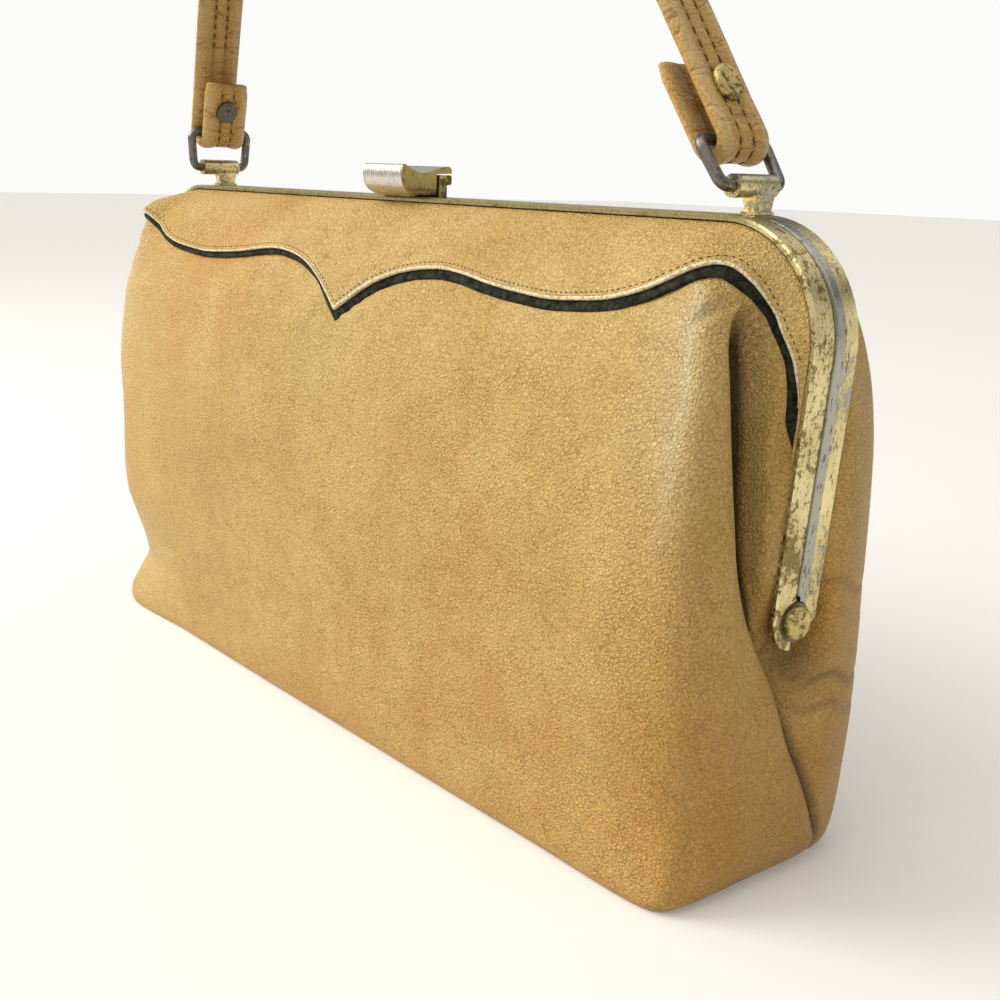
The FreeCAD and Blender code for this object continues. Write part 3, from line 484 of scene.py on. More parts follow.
# every section has the same number of points, and a strip of four points has no lip before it
SECTION_POINTS, LIPLESS_STRIP = 14, 4
SWELL_HEIGHTS = (138.0, 141.5, 144.5, 146.8, 148.2)
SWELL_SHARES = (0.8, 0.64, 0.53, 0.47, 0.41, 0.35, 0.28, 0.2, 0.1, 0.015)
SWELL_FROM_X, YOKE_ROOM = 117, 2.3


def corner_points(depth, end_x, radius):
    """Start and middle of the round corner between a side and an end, for a side at a depth."""
    bend = radius * (1 - math.sqrt(0.5))
    return [(end_x - radius, depth), (end_x - bend, depth - math.copysign(bend, depth))]


def front_section(z, middle, end, end_x, radius, fold_x, fold_y, strip):
    """Right half of one plan section, from the middle of the front to the frame's channel."""
    turn_y = min(-end + radius, fold_y - FOLD_CLEAR)
    points = [(0, -middle), (QUARTER_X, -middle), (HALF_X, -(middle + end) / 2)]
    points += corner_points(-end, end_x, radius) + [(end_x, turn_y)]
    bulge = FOLD_BULGE_SHARE * (fold_y - turn_y)
    points += [((end_x + fold_x) / 2 + bulge, (turn_y + fold_y) / 2), (fold_x, fold_y)]
    if strip is None or len(strip) != LIPLESS_STRIP:
        points.append((fold_x + FOLD_LIP[0], fold_y + FOLD_LIP[1]))
    points += strip or [(fold_x + step_x, fold_y + step_y) for step_x, step_y in TUCK_STEPS]
    if len(points) < SECTION_POINTS:
        mouth = float(outline_x(z))
        points += [(mouth, CHANNEL_OUT), (mouth, CHANNEL_IN)]
    return points


def swell_section(z):
    """Right half of a section close to the frame, where the leather lies below the yoke."""
    mouth = float(outline_x(z))
    xs = [0, QUARTER_X, HALF_X] + [mouth - (mouth - SWELL_FROM_X) * share for share in SWELL_SHARES]
    points = [(x, -(float(front_swell(x, z)) - YOKE_ROOM)) for x in xs]
    return points + [(mouth, CHANNEL_IN)]


front_heights = [row[0] for row in FRONT_ROWS] + list(SWELL_HEIGHTS)
front_rows = [front_section(*row) for row in FRONT_ROWS] + [swell_section(z) for z in SWELL_HEIGHTS]
print("front sections:", len(front_rows), "points in each:", {len(row) for row in front_rows})

# %% [markdown]
# The yoke is a second layer over the front. Its lower edge is cut in scallops with a point in the middle.
# The line is needed already here, because the front leather must stay behind the yoke and its piping.

# %% Lower edge of the yoke
# x and height, from the point in the middle to the end by the right leg
YOKE_EDGE = np.array([
    (0, 120.2), (6.4, 124.2), (12, 127.4), (18.5, 130.1), (26, 132.2), (34, 133.4), (41, 133.8), (50, 133.2),
    (60, 131.9), (72, 130.9), (84, 130.4), (94, 131.1), (102, 132), (108.5, 133.5), (114, 135.4),
    (118.8, 137.8), (122.8, 140), (126.6, 141.1), (129.8, 140.7), (132.4, 139), (134.7, 136.3),
    (136.4, 132.6), (138, 128.8), (139.9, 125.4), (141.3, 122.2), (142.1, 118.4), (142.5, 114), (142.4, 109),
    (142, 104.5), (141.8, 101),
])
EDGE_PIECES = [6] * (len(YOKE_EDGE) - 1)


def line_normals(line):
    """Unit steps square to a line of the front view, pointing away from the yoke."""
    step = np.gradient(line, axis=0)
    step = step / np.linalg.norm(step, axis=1, keepdims=True)
    return np.stack([step[:, 1], -step[:, 0]], axis=1)


YOKE_FREE = along(YOKE_EDGE, EDGE_PIECES)
YOKE_OUT = line_normals(YOKE_FREE)
print("points along half the yoke's edge:", len(YOKE_FREE))

# %% [markdown]
# ## Front leather
# The sections give a skin that is still too perfect. Worn leather has slow dents, is pinched in at the
# lower corners and puffs out at the upper left. Each of these is a small move of the points, faded out by
# height and by the distance from the frame.

# %% Skin of the front, with its dents and pinches
ROW_STEP = 1.25
FOOT_ROWS, RIM_ROWS, STEP_FROM, STEP_TO = (0, 0.6, 1.5, 3), (146.4, 147.3, 148.2), 4.5, 146
FRONT_PIECES = [10, 10, 8, 6, 6, 5, 5, 6, 6, 6, 6, 5, 3]
LOOSE_FOOT, LOOSE_FRONT_TOP = (0, 14), (126, 104)
PINCH_HEIGHTS = (0, 7, 19, 28, 42, 60, 83, 96, 106, 117, 126, 134, 140)
LEFT_PINCH = (-1.5, 1.0, 6.5, 4.5, 1.0, 0, 0, 0.3, 0.4, 0.2, 0, 0, 0)
RIGHT_PINCH = (0, 0.6, 1.6, 1.2, 0.4, 0, 0, 0, 0, 0, 0, 0, 0)
PINCH_X, PINCH_IN_SHARE, PINCH_BACK_SHARE, PINCH_DEPTH = (88, 130), 0.64, 0.77, 20
PUFF_RIM = (133, 138)


def both_sides(rows):
    """Each half row with its mirror image, from the left end to the right end."""
    rows = np.asarray(rows, float)
    left = rows[:, :0:-1] * (-1, 1)
    return np.concatenate([left, rows], axis=1)


def relief(x, y, z):
    """Slow dents and swellings of worn leather, as four waves whose heights are in millimetres."""
    return (0.55 * np.sin(x / 31 + 0.6) * np.sin(z / 23 + 1.1) + 0.4 * np.sin(x / 17 - z / 29 + 2.0)
            + 0.22 * np.sin(x / 9.5 + z / 13 + y / 11) + 0.16 * np.sin(z / 7.3 - x / 21 + 0.4))


def skin(heights, rows, pieces, wanted):
    """Grid of points from the sections, with the sections' curves between them."""
    full = both_sides(between_rows(heights, rows, wanted))
    plan = along(full, pieces[::-1] + pieces)
    z = np.broadcast_to(np.asarray(wanted)[:, None, None], plan.shape[:2] + (1,))
    return np.concatenate([plan, z], axis=-1)


def columns_from_end(grid):
    """Columns between each column of a grid and the nearer end."""
    column = np.arange(grid.shape[1])
    return np.minimum(column, grid.shape[1] - 1 - column)


def tail(pieces, spans):
    """Columns in the last spans of a section."""
    return sum(pieces[-spans:])


skin_heights = np.concatenate([FOOT_ROWS, np.arange(STEP_FROM, STEP_TO, ROW_STEP), RIM_ROWS])
front_grid = skin(front_heights, front_rows, FRONT_PIECES, skin_heights)
front_x, front_y, front_z = np.moveaxis(front_grid, -1, 0)
from_end = columns_from_end(front_grid)
held = smooth(tail(FRONT_PIECES, 6), tail(FRONT_PIECES, 9), from_end)
loose = held * smooth(*LOOSE_FOOT, front_z) * smooth(*LOOSE_FRONT_TOP, front_z)
front_y -= relief(front_x, front_y, front_z) * loose
for side, pinch in ((-1, LEFT_PINCH), (1, RIGHT_PINCH)):
    amount = np.interp(front_z, PINCH_HEIGHTS, pinch) * smooth(*PINCH_X, side * front_x) * held
    front_x -= side * PINCH_IN_SHARE * amount
    front_y += PINCH_BACK_SHARE * amount * np.clip(-front_y / PINCH_DEPTH, 0, 1)
on_top = smooth(*PUFF_RIM, front_z)
front_y -= left_puff(front_x, front_z) * (held * (1 - on_top) + on_top)
print("front skin:", front_grid.shape[:2], "points")

# %% [markdown]
# Below the yoke the front is pressed back, so that the piping lies free in front of it. Beside the
# frame's leg the leather is gathered: small pleats fan out from the top of the valley.

# %% Front pressed behind the yoke, and its gathers
UNDER_TURN, UNDER_TOP, UNDER_LEG, PIPING_ROOM = (26, 40), (112, 118), (95, 101), 2.9
STRIP_RIM, STRIP_FOOT, STRIP_TOP = (2, 9), (104, 122), (138, 134)
GATHER_X, GATHER_Z, GATHER_PLEATS, GATHER_DEPTH = 126.5, 138.5, 21, 0.4
GATHER_START, GATHER_END = (2, 6), (24, 8)
_, turn = mouth_reach(front_x, front_z)
near = YOKE_FREE[None, None] - np.abs(front_grid[..., None, [0, 2]])
nearest = np.argmin((near**2).sum(axis=-1), axis=-1)
near = np.take_along_axis(near, nearest[..., None, None], axis=2)[..., 0, :]
gap = -(near * YOKE_OUT[nearest]).sum(axis=-1)
limit = -(front_swell(front_x, front_z) - YOKE_ROOM + np.maximum(gap - PIPING_ROOM, 0))
by_leg = smooth(tail(FRONT_PIECES, 4), tail(FRONT_PIECES, 3), from_end)
by_top = smooth(*UNDER_TURN, turn) * smooth(*UNDER_TOP, front_z)
under = np.maximum(by_top, by_leg * smooth(*UNDER_LEG, front_z))
front_y += under * (np.maximum(front_y, limit) - front_y)

strip = by_leg * smooth(*STRIP_RIM, from_end) * smooth(*STRIP_FOOT, front_z) * smooth(*STRIP_TOP, front_z)
fan_x, fan_z = np.abs(front_x) - GATHER_X, GATHER_Z - front_z
fan_reach = np.hypot(fan_x, fan_z)
pleats = np.cos(GATHER_PLEATS * np.arctan2(fan_x, fan_z) + 0.5 * np.sin(fan_z / 2)) ** 6
gather = pleats * strip * smooth(*GATHER_START, fan_reach) * smooth(*GATHER_END, fan_reach)
front_y += GATHER_DEPTH * gather
print("deepest gather:", round(GATHER_DEPTH * gather.max(), 2), "mm")

# %% [markdown]
# The finished grid gets a foot that turns under the bag, then its painted wear and light: a pale rub with a
# painted sheen and highlight along the fold's crest, painted shade down in the valley and in the gathers, and
# a painted shadow along the lip that covers the back. The leather is one millimetre thick.

# %% Front leather piece
LEATHER_WALL = 1.0
FOOT_SHARES, FOOT_HEIGHT = (0.985, 0.93, 1), 0.35
RUB_AND_SHEEN_FOOT, RUB_AND_SHEEN_TOP = (72, 116), (141, 132)
# how strong the fold's rub with its painted sheen, its painted highlight or a painted shade is, and over how
# many columns of points it fades
BROAD_RUB_AND_SHEEN, BROAD_RUB_AND_SHEEN_COLUMNS, SHARP_HIGHLIGHT, SHARP_HIGHLIGHT_COLUMNS = 0.26, 4.5, 0.34, 1.1
STRIP_COLUMNS, FOLD_COLUMNS, LIP_COLUMNS, LIP_SHIFT = (5.4, 2.4), (7.5, 2.5), (9, 4), 3
VALLEY_SHADE, LIP_SHADOW, GATHER_SHADE = 0.88, 0.6, 0.4
VALLEY_FOOT, VALLEY_TOP, LIP_TOP, LIP_FOOT = (40, 62), (134, 123), (66, 56), (3, 12)


def turned_under(grid):
    """The grid with one more row at its foot, turned under the bag."""
    foot = grid[0] * FOOT_SHARES
    foot[:, 2] = FOOT_HEIGHT
    return np.concatenate([foot[None], grid])


front_grid = turned_under(front_grid)
front_z = front_grid[..., 2]
gather = np.concatenate([gather[:1], gather])
from_middle = np.abs(np.arange(front_grid.shape[1]) - sum(FRONT_PIECES))
crest = np.abs(from_middle - sum(FRONT_PIECES[:3]) - 2)
# The fold's crest gets a broad pale rub with a painted sheen, and a thin painted highlight along its ridge.
fold_rub_and_sheen = BROAD_RUB_AND_SHEEN * np.exp(-((crest / BROAD_RUB_AND_SHEEN_COLUMNS) ** 2))
fold_rub_and_sheen = fold_rub_and_sheen + SHARP_HIGHLIGHT * np.exp(-((crest / SHARP_HIGHLIGHT_COLUMNS) ** 2))
fold_rub_and_sheen = fold_rub_and_sheen * smooth(*RUB_AND_SHEEN_FOOT, front_z) * smooth(*RUB_AND_SHEEN_TOP, front_z)
# Painted shade: near black down in the valley beside the fold, where the fold keeps the light off, a painted
# shadow along the lip that covers the back, and painted shade in the gathers.
deep = np.abs(from_middle - sum(FRONT_PIECES[:9]))
on_strip = from_end < tail(FRONT_PIECES, 4)
valley_shade = np.where(on_strip, smooth(*STRIP_COLUMNS, deep), smooth(*FOLD_COLUMNS, deep))
valley_shade = valley_shade * smooth(*VALLEY_FOOT, front_z) * smooth(*VALLEY_TOP, front_z)
lip_shadow = smooth(*LIP_COLUMNS, np.abs(deep - LIP_SHIFT))
lip_shadow = lip_shadow * smooth(*LIP_TOP, front_z) * smooth(*LIP_FOOT, front_z)
front_shade = np.maximum(VALLEY_SHADE * valley_shade, LIP_SHADOW * lip_shadow)
front_skin = sheet("front_leather", front_grid, calf)
paint(front_skin, "rub_and_sheen", fold_rub_and_sheen)
paint(front_skin, "painted_shade", np.maximum(front_shade, GATHER_SHADE * gather))
thicken(front_skin, LEATHER_WALL)
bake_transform(front_skin)
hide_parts("front_panel", "lower_body")
print("front leather:", len(front_skin.data.polygons), "faces")

# %% [markdown]
# ## Back leather
# The back is fuller than the front and has no inward fold: it swells out behind the frame's legs. Below
# the hinge it tucks under the front's fold, and small wrinkles run across it there. It is made like the
# front.

# %% Sections of the back
# height, depth, end x, corner radius, point on the end, then points tucked under the front
BACK_ROWS = (
    (0.0, 30.6, 134.2, 6.0, (134.4, 22.0), (133.4, 19.8), (131.8, 18.0), (130.0, 16.8)),
    (1.5, 31.2, 135.4, 6.6, (135.6, 21.6), (134.6, 19.2), (132.8, 17.2), (131.0, 16.2)),
    (5.0, 32.0, 137.2, 8.6, (137.6, 20.2), (136.2, 17.2), (134.2, 15.2), (132.0, 14.4)),
    (12.0, 33.0, 139.4, 12.0, (139.8, 17.4), (138.0, 14.0), (135.6, 11.6), (133.0, 10.4)),
    (22.0, 33.8, 141.4, 15.4, (141.4, 13.0), (139.0, 8.6), (136.4, 5.6), (133.6, 4.4)),
    (36.0, 34.4, 142.9, 17.6, (142.4, 7.4), (139.6, 0.4), (137.0, -3.4), (134.0, -5.4)),
    (50.0, 34.6, 143.4, 19.0, (142.4, 6.0), (139.0, -1.6), (137.2, -6.4), (134.8, -10.0)),
    (58.0, 34.6, 143.6, 19.5, (142.7, 9.0), (138.3, 4.5), (137.2, 0.0), (136.0, -6.0)),
    (66.0, 34.5, 143.7, 20.0, (142.9, 11.0), (138.2, 8.8), (137.4, 5.0), (137.2, 1.0)),
    (75.0, 34.3, 143.9, 20.0, (143.4, 11.2)),
    (90.0, 33.4, 144.0, 19.5, (143.6, 11.0)),
    (105.0, 31.2, 143.7, 18.0, (143.6, 10.6)),
    (118.0, 28.4, 142.4, 16.5, (143.3, 10.0)),
    (128.0, 24.8, 139.9, 14.0, (142.3, 9.4)),
    (135.0, 21.2, 136.8, 11.0, (140.2, 9.2)),
    (140.0, 17.8, 133.4, 8.5, (136.8, 9.0)),
    (144.0, 14.4, 129.6, 5.0, (132.6, 8.8)),
    (146.8, 11.0, 125.6, 2.2, (127.8, 8.5)),
    (148.2, 8.8, 121.4, 0.5, (122.2, 8.2)),
)
BACK_CHANNEL = (7.4, 5.6, 3.8)
BACK_PIECES = [10, 10, 7, 6, 6, 5, 6, 6, 4]


def back_section(z, depth, end_x, radius, on_end, *tucked):
    """Right half of one plan section, from the middle of the back to the channel or under the front."""
    mouth = float(outline_x(z))
    points = [(0, depth), (QUARTER_X, depth), (HALF_X, depth)] + corner_points(depth, end_x, radius)
    points += [(end_x, depth - radius), on_end]
    return points + (list(tucked) or [(mouth, y) for y in BACK_CHANNEL])


back_rows = [back_section(*row) for row in BACK_ROWS]
back_grid = skin([row[0] for row in BACK_ROWS], back_rows, BACK_PIECES, skin_heights)
print("back sections:", len(back_rows))

# %% [markdown]
# The back gets slow dents like the front. Where it tucks under the front's fold its skin is squeezed, so
# fine wrinkles run across it there. They could be sculpted, but a wave over the height keeps them even
# and takes only a few lines.

# %% Back leather piece
LOOSE_BACK_TOP = (143, 120)
RELIEF_SHIFT_X, RELIEF_SHIFT_Z = 40, 15
WRINKLE_STEP, WRINKLE_DEPTH, WRINKLE_FOOT, WRINKLE_TOP, WRINKLE_RIM = 1.15, 0.3, (22, 40), (84, 62), (1, 9)
TUCK_REACH, TUCK_X, TUCK_FOOT, TUCK_TOP = (6.0, 0.5), (124, 130), (0, 10), (78, 60)
HINGE_SHADE_Z, HINGE_SHADE_Y, HINGE_SHADE_HIGH, HINGE_SHADE_WIDE = 55, 2, 9, 7
TUCK_SHADOW, HINGE_SHADE, WRINKLE_SHADE = 0.9, 0.55, 0.55
back_x, back_y, back_z = np.moveaxis(back_grid, -1, 0)
from_end = columns_from_end(back_grid)
held = smooth(tail(BACK_PIECES, 4), tail(BACK_PIECES, 6), from_end)
loose = held * smooth(*LOOSE_FOOT, back_z) * smooth(*LOOSE_BACK_TOP, back_z)
back_y += relief(back_x + RELIEF_SHIFT_X, back_y, back_z + RELIEF_SHIFT_Z) * loose
# wrinkles at a step in height that waver with the depth, strong in some places and weak in others
wave = back_z / WRINKLE_STEP + 1.1 * np.sin(back_y / 2.7) + back_y / 5
ripple = (0.5 + 0.5 * np.sin(wave)) ** 4 * (0.5 + 0.5 * np.sin(wave / 3.3 + 0.8))
ripple = ripple * smooth(*WRINKLE_FOOT, back_z) * smooth(*WRINKLE_TOP, back_z)
ripple = ripple * smooth(tail(BACK_PIECES, 7), tail(BACK_PIECES, 4), from_end)
ripple = ripple * smooth(*WRINKLE_RIM, from_end)
back_x -= WRINKLE_DEPTH * ripple * np.sign(back_x)

back_grid = turned_under(back_grid)
back_x, back_y, back_z = np.moveaxis(back_grid, -1, 0)
ripple = np.concatenate([ripple[:1], ripple])
# Painted shadow along the tuck under the front's lip, painted shade below the hinge, and painted shade in the
# creases of the wrinkles.
lip = np.interp(back_z, [row[0] for row in FRONT_ROWS], [row[6] for row in FRONT_ROWS])
tuck_shadow = smooth(*TUCK_REACH, back_y - lip) * smooth(*TUCK_FOOT, back_z) * smooth(*TUCK_TOP, back_z)
under_hinge = np.exp(-(((back_z - HINGE_SHADE_Z) / HINGE_SHADE_HIGH) ** 2)
                     - (((back_y - HINGE_SHADE_Y) / HINGE_SHADE_WIDE) ** 2))
tuck_shadow = np.maximum(tuck_shadow, HINGE_SHADE * under_hinge) * smooth(*TUCK_X, np.abs(back_x))
back_skin = sheet("back_leather", back_grid, calf, flip=True)
paint(back_skin, "rub_and_sheen", np.zeros_like(back_z))
paint(back_skin, "painted_shade", np.maximum(TUCK_SHADOW * tuck_shadow, WRINKLE_SHADE * ripple))
thicken(back_skin, LEATHER_WALL)
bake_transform(back_skin)
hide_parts("back_panel")
print("back leather:", len(back_skin.data.polygons), "faces")

# %% [markdown]
# ## Base
# The base is a flat panel whose edge is turned under the walls. It takes its outline from the lowest row
# of the front and the back, so it always fits them, and is closed into a thin slab.

# %% Base panel
# shares of the outline in x and y, and the height, from the upper edge round to the middle of the underside
BASE_LAYERS = ((0.988, 0.955, 0.9), (0.988, 0.955, 0.25), (0.97, 0.9, 0.0), (0.6, 0.5, 0.0))
# The base is darkened evenly with painted shade, as it lies under the bag.
BASE_SHADE = 0.2
front_tail, back_tail = sum(FRONT_PIECES[7:]), sum(BACK_PIECES[6:])
front_foot, back_foot = front_grid[1][front_tail:-front_tail], back_grid[1][back_tail:-back_tail]
base_outline = np.concatenate([front_foot, back_foot[::-1]])
layers = [base_outline * (share_x, share_y, 1) + (0, 0, lift) for share_x, share_y, lift in BASE_LAYERS]
base_skin = mesh_object("base_leather", np.concatenate(layers),
                        tube_faces(len(layers), len(base_outline), flip=True), calf)
paint(base_skin, "rub_and_sheen", np.zeros(len(base_skin.data.vertices)))
paint(base_skin, "painted_shade", np.full(len(base_skin.data.vertices), BASE_SHADE))
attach(base_skin, "bag_body")
print("base outline points:", len(base_outline))

# %% [markdown]
# ## Yoke
# The yoke hangs from the frame over the front. It is a sheet stretched between two lines, the frame's
# mouth and the scallop, so it is made from those: every point of the scallop is joined to the nearest
# place on the mouth, and the points between are laid on the swell.

# %% Yoke between the frame and the scallop
YOKE_WALL, YOKE_STEPS, YOKE_STEP_POWER, YOKE_TUCK = 0.8, 21, 0.9, -4.2
EDGE_RUB, EDGE_RUB_ROWS = 0.25, 1.2


def mirrored(line):
    """A half line with its mirror image, from left to right, sharing the middle point."""
    return np.concatenate([line[:0:-1] * (-1, 1), line])


def on_mouth(line):
    """For every point of a line, the nearest place on the frame's mouth."""
    x, z = np.abs(line[:, 0]), line[:, 1]
    turn = np.arctan2(z - CORNER_Z, np.maximum(x - CORNER_X, 1e-6))
    radius = CORNER - MOUTH_INSET
    top, leg = x <= CORNER_X, z <= CORNER_Z
    held_x = np.where(top, x, np.where(leg, outline_x(z), CORNER_X + radius * np.cos(turn)))
    held_z = np.where(top, FRAME_TOP - MOUTH_INSET, np.where(leg, z, CORNER_Z + radius * np.sin(turn)))
    return np.stack([held_x * np.sign(line[:, 0]), held_z], axis=1)


def on_swell(plan, lift=0.0):
    """Points of the front view put on the swell of the yoke."""
    y = -(front_swell(plan[..., 0], plan[..., 1]) + lift)
    return np.stack([plan[..., 0], y, plan[..., 1]], axis=-1)


free_line = mirrored(YOKE_FREE)
shares = np.linspace(0, 1, YOKE_STEPS)[:, None, None] ** YOKE_STEP_POWER
yoke_grid = on_swell(on_mouth(free_line)[None] * (1 - shares) + free_line[None] * shares)
tuck = yoke_grid[:1].copy()
tuck[..., 1] = YOKE_TUCK
yoke_grid = np.concatenate([tuck, yoke_grid])[::-1]
yoke = sheet("yoke_leather", yoke_grid, calf)
edge_rub = EDGE_RUB * np.exp(-np.arange(len(yoke_grid)) / EDGE_RUB_ROWS)
paint(yoke, "rub_and_sheen", edge_rub[:, None] * np.ones(yoke_grid.shape[1]))
paint(yoke, "painted_shade", np.zeros(yoke_grid.shape[:2]))
thicken(yoke, YOKE_WALL)
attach(yoke, "front_half")
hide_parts("front_yoke")
print("yoke faces:", len(yoke.data.polygons))

# %% [markdown]
# ## Cut edge and piping
# The yoke's raw edge shows the pale fibres inside the leather, and a dark strip of suede piping lies
# below it. Fibres, nap, thread and board all look like specks between two tones, so one function starts
# each of them from the size of a speck.

# %% Cut edge and piping materials
WORN_NAP = 6.25


def fibrous(name, grit, detail, tones, matt, spread=(0.0, 1.0), rough=0.5, relief=None):
    """A matt material of specks of a grit in millimetres between two tones. Spread is the part of the noise
    that runs from one tone to the other, and relief is the strength and the depth of a bump."""
    material, tree, shader, place = new_material(name)
    specks = add(tree, "ShaderNodeTexNoise", {"Vector": place, "Scale": per_metre(grit), "Detail": detail,
                                              "Roughness": rough})
    share = add(tree, "ShaderNodeMapRange", {0: specks, 1: spread[0], 2: spread[1]})
    tone = add(tree, "ShaderNodeMix", {0: share, 6: linear(tones[0]), 7: linear(tones[1])}, data_type="RGBA")
    join(tree, shader, {"Base Color": tone, "Roughness": matt})
    if relief:
        bump = add(tree, "ShaderNodeBump", {"Height": specks, "Strength": relief[0],
                                            "Distance": relief[1] * MM})
        join(tree, shader, {"Normal": bump})
    return material, tree, shader, place, tone


# Raw leather edge: dry, pale fibres with brown gaps. The real ones are finer, and these are as fine as show.
edge_raw, *_ = fibrous("raw_cut_leather_edge", grit=0.714, detail=4.0, tones=("#A98A50", "#FBEFC6"), matt=0.9,
                       spread=(0.34, 0.56), rough=0.7, relief=(0.5, 0.2))
# Suede piping: nearly black, with a soft nap that has worn a little greyer in places and hardly shines.
piping_hide, tree, shader, place, tone = fibrous(
    "dark_suede_piping", grit=1.613, detail=5.0, tones=("#050602", "#4B4A3A"), matt=0.88,
    spread=(0.4, 0.72), rough=0.75, relief=(0.8, 0.3))
worn = add(tree, "ShaderNodeTexNoise", {"Vector": place, "Scale": per_metre(WORN_NAP), "Detail": 3.0})
bare = add(tree, "ShaderNodeMapRange", {0: worn, 1: 0.6, 2: 0.75, 4: 0.3})
tone = add(tree, "ShaderNodeMix", {0: bare, 6: tone, 7: linear("#55523F")}, data_type="RGBA")
join(tree, shader, {"Base Color": tone, "Specular IOR Level": 0.2})
print("edge materials:", edge_raw.name, piping_hide.name)

# %% [markdown]
# Both strips are the same thing with another section: a few points that say how far out from the scallop
# and how high off the swell they lie, carried along the line. At the point in the middle the two halves
# are kept from crossing. The strips narrow towards the frame's legs, and are thinner on the left half, as
# on the real bag.

# %% Cut edge and piping strips
STRIP_WALL, STRIP_END_SHARE, LEFT_THINNER_SHARE, LEFT_THIN_X = 0.5, 0.12, 0.28, (-2, -16)
POINT_LENGTH_SHARE, LEAVES_EDGE = 1.3, 1.6
# way out from the yoke's edge, and lift off the swell
CUT_SECTION = ((-0.2, 0.05), (0.05, 0.16), (0.35, 0.12), (0.6, -0.1), (0.72, -0.5), (0.74, -1.3))
PIPING_SECTION = ((0.3, -1.3), (0.7, -0.95), (1.2, -1.05), (2.0, -1.25), (2.7, -1.4), (3.2, -1.75),
                  (3.3, -2.5))


def edge_strip(name, section, material, low_end, taper):
    """Strip along the scallop. It ends at a height by the frame's legs and narrows over a length before."""
    kept = (np.abs(free_line[:, 0]) < CORNER_X) | (free_line[:, 1] > low_end)
    edge, normal = free_line[kept], line_normals(free_line)[kept]
    middle = len(edge) // 2
    normal[middle] = (0, -1)
    fade = STRIP_END_SHARE + (1 - STRIP_END_SHARE) * smooth(low_end, low_end + taper, edge[:, 1])
    width = np.where(np.abs(edge[:, 0]) > CORNER_X, fade, 1.0)
    width = (width * (1 - LEFT_THINNER_SHARE * smooth(*LEFT_THIN_X, edge[:, 0])))[:, None]
    rows = []
    for out, lift in section:
        plan = edge + normal * out * width
        plan[:middle, 0] = np.minimum(plan[:middle, 0], 0)
        plan[middle + 1:, 0] = np.maximum(plan[middle + 1:, 0], 0)
        plan[middle] = edge[middle] + (0, -POINT_LENGTH_SHARE * out)
        row = on_swell(plan)
        share = min(max(out, 0) / LEAVES_EDGE, 1)
        row[:, 1] = (1 - share) * on_swell(edge)[:, 1] + share * row[:, 1] - lift
        rows.append(row)
    obj = sheet(name, np.stack(rows), material, flip=True)
    thicken(obj, STRIP_WALL)
    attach(obj, "front_half")
    return obj


cut_edge = edge_strip("yoke_cut_edge", CUT_SECTION, edge_raw, low_end=112.0, taper=8.0)
piping = edge_strip("yoke_piping", PIPING_SECTION, piping_hide, low_end=100.5, taper=9.5)
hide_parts("front_piping")
print("cut edge and piping:", len(cut_edge.data.polygons), len(piping.data.polygons), "faces")

# %% [markdown]
# ## Lining
# Inside, a plain woven cloth lining hangs from the same channels as the leather. It shows only when the frame
# is open. It is drawn with the same kind of sections, a little inside the leather and without its folds.

# %% Lining cloth
# Cotton lining: matt, evenly woven and a little stained. Real threads lie about 0.4 mm apart, and these
# 0.9 mm, so that the weave shows. A wave texture has one wave in 314 mm at a scale of 1.
THREAD_STEP, THREAD_DEPTH, WAVE_LENGTH = 0.9, 0.2, 314
cloth, tree, shader, place, _ = fibrous("plain_woven_cotton_lining", grit=41.7, detail=3.0,
                                        tones=("#8F7B5B", "#B6A17C"), matt=0.85)
over, under = [add(tree, "ShaderNodeTexWave", {"Vector": place, "Scale": WAVE_LENGTH / THREAD_STEP,
                                               "Distortion": 0.6}, bands_direction=way) for way in "XZ"]
weave = add(tree, "ShaderNodeMath", {0: over.outputs["Fac"], 1: under.outputs["Fac"]}, operation="ADD")
bump = add(tree, "ShaderNodeBump", {"Height": weave, "Strength": 0.4, "Distance": THREAD_DEPTH * MM})
join(tree, shader, {"Normal": bump})
print("lining material:", cloth.name)

# %% [markdown]
# A lining is cut smaller than its bag, so that it doesn't bunch up. Moving the leather's own skin inwards
# would carry its folds along, so the lining has simpler sections, with one half for each half of the
# frame.

# %% Two halves of the lining
LINING_WALL, LINING_GAP, LINING_FOOT, LINING_TOP, LINING_ROWS = 0.5, 2.6, 3.4, 144.5, 60
LINING_PIECES = [8, 8, 5, 5, 5, 4, 3]
LINING_END, LINING_END_MAX, END_ROUND, END_ROUND_Z = 125.0, 126, 3.5, (12, 0)
RIM_HEIGHTS, ROW_FROM, ROW_TO, CORNER_FROM_Z, CORNER_ROOM = (56, 76), 5, 145, 127, 8
SIDE_X, BEND_IN, BEND_DROP, BEND_MIN = (0, 60, 96), 14, 3.2, 6.6
ROUND_IN, ROUND_SHARE, ROUND_LIFT = 2.5, 0.66, 1.6
SHOULDER_DROP, SHOULDER_SHARE, SHOULDER_MIN = 3.0, 0.82, 6.4
# edge below the hinge: way out from the end, and depth
LOW_EDGE = ((1.5, 5.0), (2.0, 2.6), (2.0, 0.6))
# edge in the frame: way in from the mouth, and depth
HIGH_EDGE, HIGH_REACH = ((4.4, 6.2), (3.9, 4.4), (3.9, 2.6)), 4.0
FLOOR_ROW_DEPTH, TOP_ROWS, TOP_ROW_ROOM = 0.2, 3, 1


